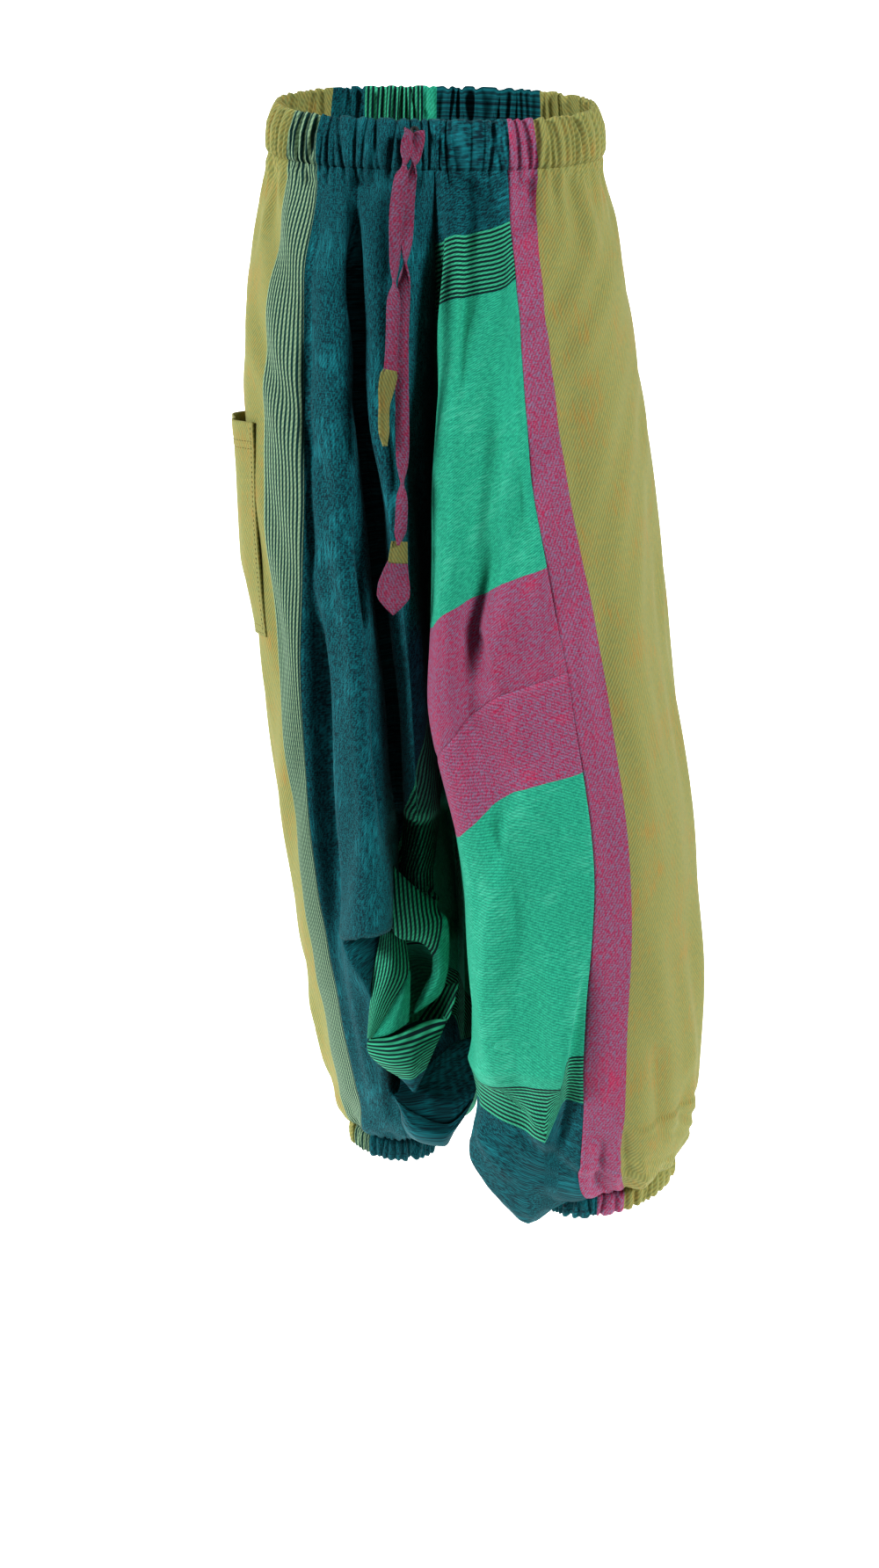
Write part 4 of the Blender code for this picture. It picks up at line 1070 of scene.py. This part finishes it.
# Each low fold: rows of points from its top down (x, y, z in cm, left to right), the colour
# coordinate in mm from the start of the green stripe, and the sides that turn back inward
LOW_FOLDS = {
    "lined flap that rolls into a green lip": (
        (((-3.5, -6.4, -57.2), (-1.3, -6.8, -59.4), (0.9, -5.8, -61.4)),
         ((-3.2, -7.0, -60.4), (-1.0, -7.3, -61.4), (1.2, -6.4, -62.0)),
         ((-2.5, -6.8, -63.9), (-0.3, -7.2, -63.2), (1.8, -6.3, -62.6)),
         ((-0.4, -6.3, -64.7), (0.7, -6.7, -64.4), (2.0, -5.9, -64.5)),
         ((0.5, -5.8, -65.9), (1.2, -6.3, -65.9), (2.0, -5.5, -66.5)),
         ((0.6, -5.3, -67.4), (1.2, -5.9, -67.6), (1.8, -5.2, -68.2)),
         ((0.0, -5.0, -68.9), (0.6, -5.6, -69.2), (1.2, -4.9, -69.9)),
         ((-1.0, -5.0, -71.2), (-0.9, -5.2, -71.3), (-0.7, -5.0, -71.4))),
        ((-42, -21, 0), (-41, -20, 2), (-37, -15, 6), (-14, -3, 10), (0, 6, 14), (3, 9, 15),
         (3, 9, 15), (3, 9, 15)),
        "top right"),
    "shaded hollow inside the lip": (
        (((-2.8, -4.6, -64.1), (-1.0, -4.2, -64.6), (0.7, -4.6, -65.8)),
         ((-2.2, -2.6, -66.9), (-0.7, -2.4, -67.4), (1.1, -3.4, -68.0)),
         ((-1.6, -2.8, -69.2), (-0.6, -2.6, -69.4), (0.8, -3.4, -69.6)),
         ((-1.5, -4.6, -72.2), (-1.2, -4.6, -71.9), (-0.6, -4.6, -71.4))),
        ((-20, -8, 4), (8, 12, 16), (12, 16, 20), (16, 18, 20)),
        ""),
    "cone whose lines run to a point": (
        (((-3.7, -5.6, -63.8), (-2.8, -6.2, -63.7), (-1.8, -5.6, -63.6)),
         ((-4.3, -5.7, -67.3), (-2.9, -6.9, -67.0), (-1.3, -5.8, -67.4)),
         ((-4.6, -5.9, -70.3), (-3.9, -6.8, -70.2), (-2.7, -6.2, -70.2)),
         ((-4.8, -6.0, -73.3), (-4.6, -6.2, -73.3), (-4.3, -6.1, -73.2))),
        ((-38, -19, 0), (-38, -19, 0), (-38, -19, 0), (-38, -19, 0)),
        "left"),
    "green corner beside the cone": (
        (((-1.4, -5.8, -67.2), (-1.3, -5.8, -67.3), (-1.2, -5.7, -67.4)),
         ((-2.7, -6.2, -70.2), (-2.0, -6.4, -70.0), (-1.2, -5.7, -69.6)),
         ((-4.4, -6.1, -73.3), (-3.0, -6.3, -72.9), (-1.3, -5.8, -71.9))),
        ((2, 4, 6), (2, 12, 24), (2, 14, 30)),
        "right"),
    "hollow above the lobe": (
        (((-1.6, -3.4, -70.6), (0.2, -2.8, -70.3), (1.6, -3.6, -69.4), (2.8, -5.0, -68.6)),
         ((-1.4, -3.4, -72.2), (0.2, -2.6, -71.8), (1.4, -3.8, -71.2), (2.4, -5.2, -70.6)),
         ((-1.3, -4.6, -73.4), (0.2, -4.2, -73.2), (1.2, -4.6, -72.6), (1.9, -5.4, -72.0))),
        ((20, 10, 0, -10), (10, 2, -6, -16), (2, -6, -12, -20)),
        ""),
    "lobe with its lines lying across": (
        (((-4.3, -5.8, -73.2), (-2.8, -5.6, -72.9), (-1.3, -5.2, -72.3), (0.1, -4.9, -72.0),
          (1.9, -5.4, -71.8)),
         ((-4.8, -6.0, -73.9), (-3.0, -6.8, -73.6), (-1.2, -6.8, -73.3), (0.3, -6.3, -73.0),
          (1.5, -5.6, -72.9)),
         ((-4.5, -5.9, -75.0), (-2.9, -6.9, -75.0), (-1.2, -7.1, -74.7), (0.1, -6.5, -74.3),
          (1.0, -5.7, -74.1)),
         ((-3.2, -5.8, -76.2), (-2.1, -6.5, -76.1), (-1.0, -6.8, -75.9), (-0.2, -6.4, -75.5),
          (0.5, -5.7, -75.4)),
         ((-2.0, -5.5, -77.1), (-1.4, -5.9, -77.1), (-0.9, -6.0, -77.1), (-0.4, -5.9, -76.9),
          (0.0, -5.6, -76.7)),
         ((-1.0, -5.3, -78.3), (-0.9, -5.4, -78.4), (-0.8, -5.4, -78.4), (-0.7, -5.4, -78.4),
          (-0.6, -5.3, -78.3))),
        ((0, 0, -1, -2, -4), (-9, -8, -9, -10, -12), (-23, -22, -22, -24, -26),
         (-36, -36, -36, -38, -40), (-49, -49, -50, -52, -54), (-62, -62, -62, -62, -62)),
        "left right"),
    "zigzag fold under the lobe": (
        (((-1.9, -4.4, -77.4), (0.2, -3.0, -76.9), (2.6, -2.6, -75.0), (4.6, -2.6, -74.2)),
         ((-2.1, -4.7, -78.5), (0.2, -3.6, -78.4), (2.4, -3.4, -77.6), (4.8, -3.4, -76.6)),
         ((-2.5, -5.0, -79.0), (-0.9, -4.8, -80.4), (2.0, -4.4, -81.4), (4.4, -4.0, -79.2)),
         ((-2.0, -3.6, -80.0), (-0.6, -3.4, -81.4), (1.9, -3.2, -82.2), (3.9, -3.0, -80.2))),
        ((-62, -64, -66, -70), (-74, -78, -80, -84), (-84, -92, -100, -96),
         (-94, -102, -110, -106)),
        "left"),
    "sack that hangs over the cuff": (
        (((-2.5, -5.0, -79.0), (-0.9, -5.0, -80.4), (2.1, -4.7, -81.6), (4.3, -4.0, -79.6)),
         ((-2.0, -4.6, -80.4), (-0.8, -5.4, -81.6), (1.8, -5.2, -82.4), (3.7, -4.0, -80.9)),
         ((-1.8, -4.0, -82.0), (-0.5, -4.9, -82.9), (1.7, -4.7, -83.4), (3.1, -3.6, -81.9)),
         ((-1.1, -3.2, -83.5), (0.3, -3.7, -83.9), (1.9, -3.6, -84.1), (2.6, -3.2, -82.9))),
        ((-90, -96, -104, -100), (-104, -108, -114, -110), (-118, -122, -126, -120),
         (-130, -134, -136, -130)),
        "left right bottom"),
}


# A side that turns back: share of the way back to the next row, and how far in, cm
TURNED = ((0.12, 0.7), (0.4, 2.0))


def net_surface(net, rows, columns):
    """A smooth grid through a small net of points or values."""
    net = np.array(net, float)
    down, across = np.linspace(0, net.shape[0] - 1, rows), np.linspace(0, net.shape[1] - 1, columns)
    tall = np.stack([along(np.arange(net.shape[0]), net[:, i, k], down)
                     for i in range(net.shape[1]) for k in range(net.shape[2])], -1)
    tall = tall.reshape(rows, net.shape[1], net.shape[2])
    return np.stack([along(np.arange(net.shape[1]), tall[j, :, k], across)
                     for j in range(rows) for k in range(net.shape[2])], 0
                    ).reshape(rows, net.shape[2], columns).transpose(0, 2, 1)


def turned_in(net, side):
    """A net with two more rows or columns, where that side rolls over and back into the leg."""
    if side in ("left", "right"):
        net = net.transpose(1, 0, 2)
    first = side in ("left", "top")
    edge, inner = (net[:1], net[1:2]) if first else (net[-1:], net[-2:-1])
    added = []
    for back, inward in TURNED:
        line = edge + back * (inner - edge)
        line[..., 1] = edge[..., 1] + inward
        added.append(line)
    net = np.concatenate([*added[::-1], net] if first else [net, *added])
    return net.transpose(1, 0, 2) if side in ("left", "right") else net


def low_folds():
    """The right leg's low folds, as grids with their colours."""
    grids = []
    for net, colours, sides in LOW_FOLDS.values():
        net = np.concatenate([np.array(net, float), np.array(colours, float)[..., None]], -1)
        for side in sides.split():
            net = turned_in(net, side)
        grid = net_surface(net, 10 * net.shape[0] - 8, 9 * net.shape[1] - 8)
        points = grid[..., :3] * CM
        mean = np.cross(np.gradient(points, axis=1), np.gradient(points, axis=0)).mean(axis=(0, 1))
        x = STRIPE_START["green"] + grid[..., 3] * MM
        grids.append((points, x, -points[..., 2], mean[1] > 0))
    return grids


# ---------------------------------------------------------------- waist casing and cuffs

# Profile of a casing: how far out and how far from its stitch line, mm, round its folded edge
CASING_PROFILE = (
    (-1.1, -1.6), (-0.4, 0.2), (1.2, 1.2), (2.4, 3.6), (3.0, 8.0), (3.1, 14.0), (2.9, 22.0),
    (2.3, 30.0), (1.5, 34.6), (0.4, 36.6), (-0.6, 36.4), (-1.4, 34.0), (-1.9, 27.0),
    (-2.1, 17.0), (-2.0, 7.0), (-1.7, 1.5), (-1.5, -1.6),
)
CUFF_PROFILE = (
    (-1.1, -1.4), (-0.3, 0.2), (1.4, 1.4), (2.4, 4.0), (2.8, 8.0), (2.6, 12.5), (2.0, 16.2),
    (0.9, 18.6), (-0.1, 18.8), (-1.0, 17.0), (-1.6, 12.0), (-1.8, 6.0), (-1.6, 1.4), (-1.5, -1.4),
)
# How far the waist casing leans in at these heights, and how far the folded edges are scalloped
CASING_LEAN = ((0, 0.0227, 0.0367), (0, 0.002, 0.007))
SCALLOP, SCALLOP_FROM = 0.0006, 0.7
EDGES = (
    ("waist_casing", 0, (RIGHT, LEFT), "striped_cotton_waist"),
    ("right_cuff", -1, (RIGHT,), "striped_cotton_right"),
    ("left_cuff", -1, (LEFT,), "striped_cotton_left"),
)


def casing_ring(leg, row):
    """The line a casing is sewn to, three times as fine as the leg, with its level normals."""
    count = len(leg["places"])

    def finer(values):
        return np.interp(np.arange(3 * count - 2) / 3, np.arange(count), values)

    places = finer(leg["places"])
    level = row_level(leg["side"], places, leg["rows"][[row]])
    normals = np.stack([finer(leg["normals"][row][:, k]) for k in (0, 1)] + [0 * places], -1)
    base = surface(leg["side"], places, level)[0]
    if row == 0:
        base[[0, -1], 0] = 0.0
        normals[0], normals[-1] = (0, -1, 0), (0, 1, 0)
    else:
        base[0] = base[-1] = (base[0] + base[-1]) / 2
        normals[0] = normals[-1] = (-leg["side"], 0, 0)
    return {"places": places, "base": base, "normals": unit(normals),
            "across": finer(leg["across"][row])}


def casing_grid(leg, ring, start, end, x, row):
    """A stretch of gathered casing on a leg's first row, standing up, or its last, hanging down."""
    at_waist = row == 0
    direction, profile = (1, CASING_PROFILE) if at_waist else (-1, CUFF_PROFILE)
    gathers = leg["waist gathers" if at_waist else "cuff gathers"]
    turn = ring["across"][-1]
    columns = (ring["places"] > start - 1e-6) & (ring["places"] < end + 1e-6)
    around, base, normal = (ring[name][columns] for name in ("across", "base", "normals"))
    out, high = (np.array(part)[:, None] * MM for part in zip(*profile))
    lean = np.interp(high, *CASING_LEAN) if at_waist else 0 * high
    sunk = gathered(gathers, around[None, :], -high - 0 * around, turn)
    swell = 1.0 + 0.5 * np.sin(pi * high / high.max())
    points = base[None] + (out - lean - sunk * swell)[..., None] * normal[None]
    scallop = np.interp(high / high.max(), (SCALLOP_FROM, 1.0), (0, 1)) * (SCALLOP - 0.5 * sunk)
    clear = soft(np.minimum(around, turn - around) / GATHERS_CLEAR)
    points[..., 2] += direction * (high + scallop * clear)
    across = np.interp(ring["places"][columns], leg["places"], x[row])
    return points, across + 0 * high, -direction * high + 0 * around


def build_casings(legs, cotton):
    made = {}
    for name, row, sides, slot in EDGES:
        grids = []
        for side in sides:
            leg = legs[side]
            ring = casing_ring(leg, row)
            for panel, (panel_side, start, end, (top, bottom), _) in panels().items():
                if panel_side == side and (top == 0 if row == 0 else bottom == 2 * HALF_ROWS):
                    grids.append((*casing_grid(leg, ring, start, end, leg[panel], row), False))
        band = cloth_mesh(name + "_cloth", grids, cotton, thick=0, weld=True)
        # The inner edge is joined to the outer one, along the stitch line
        with editing(band.data) as build:
            edges = [edge for edge in build.edges if edge.is_boundary]
            if edges:
                bmesh.ops.bridge_loops(build, edges=edges)
            bmesh.ops.recalc_face_normals(build, faces=build.faces)
            for face in build.faces:
                face.smooth = True
        made[name] = place_piece(band, name)
    return made


# ---------------------------------------------------------------- pocket

POCKET_HIGH, POCKET_LOW = -0.222, -0.392
# Its two sides: the crease each lies beside, and how far from it
POCKET_SIDES = (("lined stripe outer", 0.38), ("side back", 0.3))
POCKET_REST, POCKET_STAND, POCKET_MOUTH, POCKET_CLEAR = 0.0009, 0.0072, 0.0016, 0.0018
POCKET_GRID = (90, 70)       # points down it and across it
POCKET_WAVE, POCKET_HEM = 0.0012, 0.0010
# Rows of stitching, as shares of the pocket's height from its top: two under the hem, two at
# the foot; then how deep and how wide the groove of each is
POCKET_ROWS = (0.085, 0.125, 0.955, 0.99)
STITCH_SINK, STITCH_WIDE = 0.0005, 0.0012
STITCH_LENGTH, STITCH_GAP, STITCH_THICK = 0.0026, 0.0012, 0.00045


def build_pocket(cotton):
    """Patch pocket on the right side: hemmed top standing open, stitched down elsewhere."""
    first, last = (crease_number(RIGHT, name) + beside for name, beside in POCKET_SIDES)
    rows, columns = POCKET_GRID
    down = np.linspace(0, 1, rows)[:, None]
    across = np.linspace(0, 1, columns)[None, :]
    level = POCKET_HIGH + (POCKET_LOW - POCKET_HIGH) * down + 0 * across
    base = surface(RIGHT, np.linspace(first, last, columns), level)
    normal = normals_of(RIGHT, base)
    bulge = soft(3.0 * np.minimum(across, 1 - across)) * soft(3.0 * (1 - down))
    lift = POCKET_REST + POCKET_STAND * bulge + POCKET_MOUTH * bulge * (1 - down)
    fold = POCKET_WAVE * np.sin(7 * across + 3 * down) * bulge
    fold += POCKET_HEM * np.exp(-((down / 0.12) ** 2))
    stitched = np.zeros_like(level)
    for at in POCKET_ROWS:
        off = (down - at) * (POCKET_HIGH - POCKET_LOW)
        stitched -= STITCH_SINK * np.exp(-((off / STITCH_WIDE) ** 2))
    points = base + (lift + fold + stitched + POCKET_CLEAR)[..., None] * normal
    x = STRIPE_START["olive"] + 0.10 + run_of(points, 1)
    pocket = cloth_mesh("patch_pocket_cloth", [(points, x, -run_of(points, 0), False)], cotton,
                        2 * CLOTH_THICK)
    turned = [(int(round(at * (rows - 1))), slice(2, -2)) for at in POCKET_ROWS]
    sides = [(slice(2, -2), column) for column in (2, columns - 3)]
    sewn = stitches("pocket_stitching", [(points[line], normal[line]) for line in turned + sides],
                    sewing_thread("olive sewing thread, spun polyester", "#6F6A38"))
    place_piece(pocket, "patch_pocket")
    return pocket, place_piece(sewn, None)


def stitches(name, lines, thread):
    """Rows of short stitches lying on the cloth, each a slim spindle."""
    points, faces = [], []
    for path, normals in lines:
        run = run_of(path, 0)
        for start in np.arange(0, run[-1] - STITCH_LENGTH, STITCH_LENGTH + STITCH_GAP):
            back, middle, front, up = (
                np.array([np.interp(start + d, run, line[:, k]) for k in range(3)])
                for line, d in ((path, 0), (path, STITCH_LENGTH / 2), (path, STITCH_LENGTH),
                                (normals, STITCH_LENGTH / 2)))
            up = unit(up)
            aside = np.cross(unit(front - back), up)
            first = len(points)
            points += [back, middle + aside * STITCH_THICK, middle + up * STITCH_THICK * 1.2,
                       middle - aside * STITCH_THICK, middle - up * STITCH_THICK * 0.4, front]
            for i in range(4):
                near, far = first + 1 + i, first + 1 + (i + 1) % 4
                faces += [(first, far, near), (first + 5, near, far)]
    return mesh_object(name, [tuple(p) for p in points], faces, thread)


# ---------------------------------------------------------------- ties

# Half of a tie's section: share of its half width, share of its thickness; stitched near the edge
TIE_SECTION = (
    (-1.0, 0.0), (-0.94, 0.75), (-0.78, 0.42), (-0.6, 0.9), (0.0, 1.15), (0.6, 0.9), (0.78, 0.42),
    (0.94, 0.75),
)
# Where each tie turns over: its share of the way down, and the angle there in degrees
SHORT_TURNS = (
    (0, 35), (0.10, 55), (0.18, 20), (0.28, 95), (0.34, 170), (0.52, 185), (0.70, 270),
    (0.76, 345), (0.90, 365), (1.0, 380),
)
LONG_TURNS = (
    (0, -30), (0.08, -12), (0.16, 10), (0.20, 88), (0.25, 165), (0.38, 190), (0.45, 268),
    (0.51, 345), (0.78, 370), (0.84, 448), (0.88, 525), (0.94, 545), (0.985, 610), (1.0, 620),
)
TIES = {
    "tie_short": (SHORT_TIE, SHORT_TURNS, SHORT_LENGTH, ("tie_short_tip",)),
    "tie_long": (LONG_TIE, LONG_TURNS, LONG_LENGTH, ("tie_long_band", "tie_long_leaf")),
}
TIE_POINTS, TIE_WAVE, TIE_PRESSED = 140, 0.06, 1.5
# What is sewn on below each tie: its tie, how far below the tie's end it starts, its length and
# number of points, its drift sideways in cm, its widths down its length, its thickness, its
# angle at its top and its foot, and its stripe
TIPS = {
    "tie_short_tip": (
        SHORT_TIE, -0.004, 0.056, 40, -0.25,
        ((0, 0.08, 0.25, 0.5, 0.8, 1), (0.010, 0.0135, 0.0125, 0.0085, 0.0095, 0.002)),
        0.0042, (10, 60), "olive"),
    "tie_long_band": (
        LONG_TIE, -0.002, 0.0165, 14, 0, ((0, 1), (0.0125, 0.0155)), 0.0034, (8, 8), "olive"),
    "tie_long_leaf": (
        LONG_TIE, 0.0140, 0.041, 40, -0.15,
        ((0, 0.25, 0.5, 0.68, 0.88, 1), (0.0155, 0.021, 0.025, 0.0245, 0.012, 0.0015)),
        0.0030, (8, -12), "magenta"),
}
# How far into its stripe each piece is cut
TIE_COLOUR, TIP_COLOURS = 0.05, {"olive": 0.12, "magenta": 0.06}


def smooth_route(route, count):
    """Evenly numbered points on a smooth curve through a route in cm."""
    points = np.array(route, float) * CM
    numbers = np.arange(len(points))
    at = np.linspace(0, len(points) - 1, count)
    return np.stack([along(numbers, points[:, axis], at) for axis in range(3)], -1)


def flat_tube(name, centre, widths, thick, turns, colour_at, cotton):
    """A flat sewn strip that turns as it hangs: turns is its angle at each point, in degrees."""
    ahead = unit(np.gradient(centre, axis=0))
    across = unit(np.cross(ahead, (0.0, -1.0, 0.0)))
    out = np.cross(across, ahead)
    ring = [*TIE_SECTION, *((-a, -b) for a, b in TIE_SECTION), TIE_SECTION[0]]
    c, s = np.cos(np.radians(turns))[:, None], np.sin(np.radians(turns))[:, None]
    wide_way, thick_way = c * across + s * out, c * out - s * across
    points = np.stack([centre + wide_way * (a * widths / 2)[:, None] + thick_way * (b * thick / 2)
                       for a, b in ring], 1)
    x = colour_at + np.array([a for a, _ in ring])[None, :] * widths[:, None] / 2
    grid = (points, x, run_of(centre, 0)[:, None], False)
    made = cloth_mesh(name + "_cloth", [grid], cotton, thick=0, weld=True)
    with editing(made.data) as build:
        open_edges = [edge for edge in build.edges if edge.is_boundary]
        bmesh.ops.holes_fill(build, edges=open_edges, sides=0)
        bmesh.ops.recalc_face_normals(build, faces=build.faces)
    return made


def hang_below(route, start, length, count, drift):
    """Points of a tip that hangs on below the end of a tie, drifting sideways in cm."""
    end, before = np.array(route[-1]) * CM, np.array(route[-2]) * CM
    t = np.linspace(0, 1, count)[:, None]
    bend = np.array((drift, 0, 0)) * CM * np.sin(pi * t)
    return end + unit(end - before) * (start + length * t) + bend


def build_ties(cotton):
    made, paths = {}, {}
    for name, (route, turns, _, _) in TIES.items():
        paths[name] = smooth_route(route, TIE_POINTS)
        turned = along(*zip(*turns), np.linspace(0, 1, TIE_POINTS))
        widths = TIE_WIDTH * (1 + TIE_WAVE * np.sin(np.linspace(0, 19, TIE_POINTS)))
        made[name] = flat_tube(name, paths[name], widths, TIE_THICK * TIE_PRESSED, turned,
                               STRIPE_START["magenta"] + TIE_COLOUR, cotton)
        place_piece(made[name], name)
    for name, (route, start, length, count, drift, wide, thick, turns, stripe) in TIPS.items():
        centre = hang_below(route, start, length, count, drift)
        widths = along(*wide, np.linspace(0, 1, count))
        made[name] = flat_tube(name, centre, widths, thick, np.linspace(*turns, count),
                               STRIPE_START[stripe] + TIP_COLOURS[stripe], cotton)
        place_piece(made[name], name)


# The ring of thread round the buttonhole: its radius, its thickness, where its middle is from
# the buttonhole's, and how it is stretched
RING_RADIUS, RING_THICK = 0.0019, 0.0014
RING_OFFSET, RING_STRETCH = (0.0004, -0.0016, 0.0016), (1.1, 1.0, 1.5)


def build_buttonhole():
    """The thread worked round the slot in the casing's front, where the ties come out; drawn black and
    nearly closed, it is also painted shade that stands in for the open slot.
    """
    # Black, with almost no hole in the ring: partly real stitching, partly painted shade of the slot
    thread = sewing_thread("buttonhole thread, black as painted shade of the slot", "#15181A")
    bpy.ops.object.select_all(action="DESELECT")
    bpy.ops.mesh.primitive_torus_add(
        major_radius=RING_RADIUS, minor_radius=RING_THICK, major_segments=40, minor_segments=10,
        location=BUTTONHOLE + Vector(RING_OFFSET), rotation=(radians(90), 0, 0))
    ring = bpy.context.object
    ring.name = "buttonhole_stitching"
    ring.scale = RING_STRETCH
    bpy.ops.object.transform_apply(location=True, rotation=True, scale=True)
    ring.data.materials.append(thread)
    bpy.ops.object.shade_smooth()
    place_piece(ring, None)


def main():
    for old in ("Cube", "Light", "Camera"):
        if old in bpy.data.objects:
            bpy.data.objects.remove(bpy.data.objects[old], do_unlink=True)
    set_camera()
    set_studio()
    cotton = handloom_cotton()
    # The ties: the same cotton, darkened as painted shade
    build_ties(handloom_cotton("handloom cotton twill, darkened as painted shade", TIE_PAINTED_SHADE))
    legs = {side: shape_leg(side) for side in (RIGHT, LEFT)}
    made = build_panels(legs, cotton)
    made.update(build_casings(legs, cotton))
    pocket, sewn = build_pocket(cotton)
    made["patch_pocket"] = pocket
    build_buttonhole()


main()
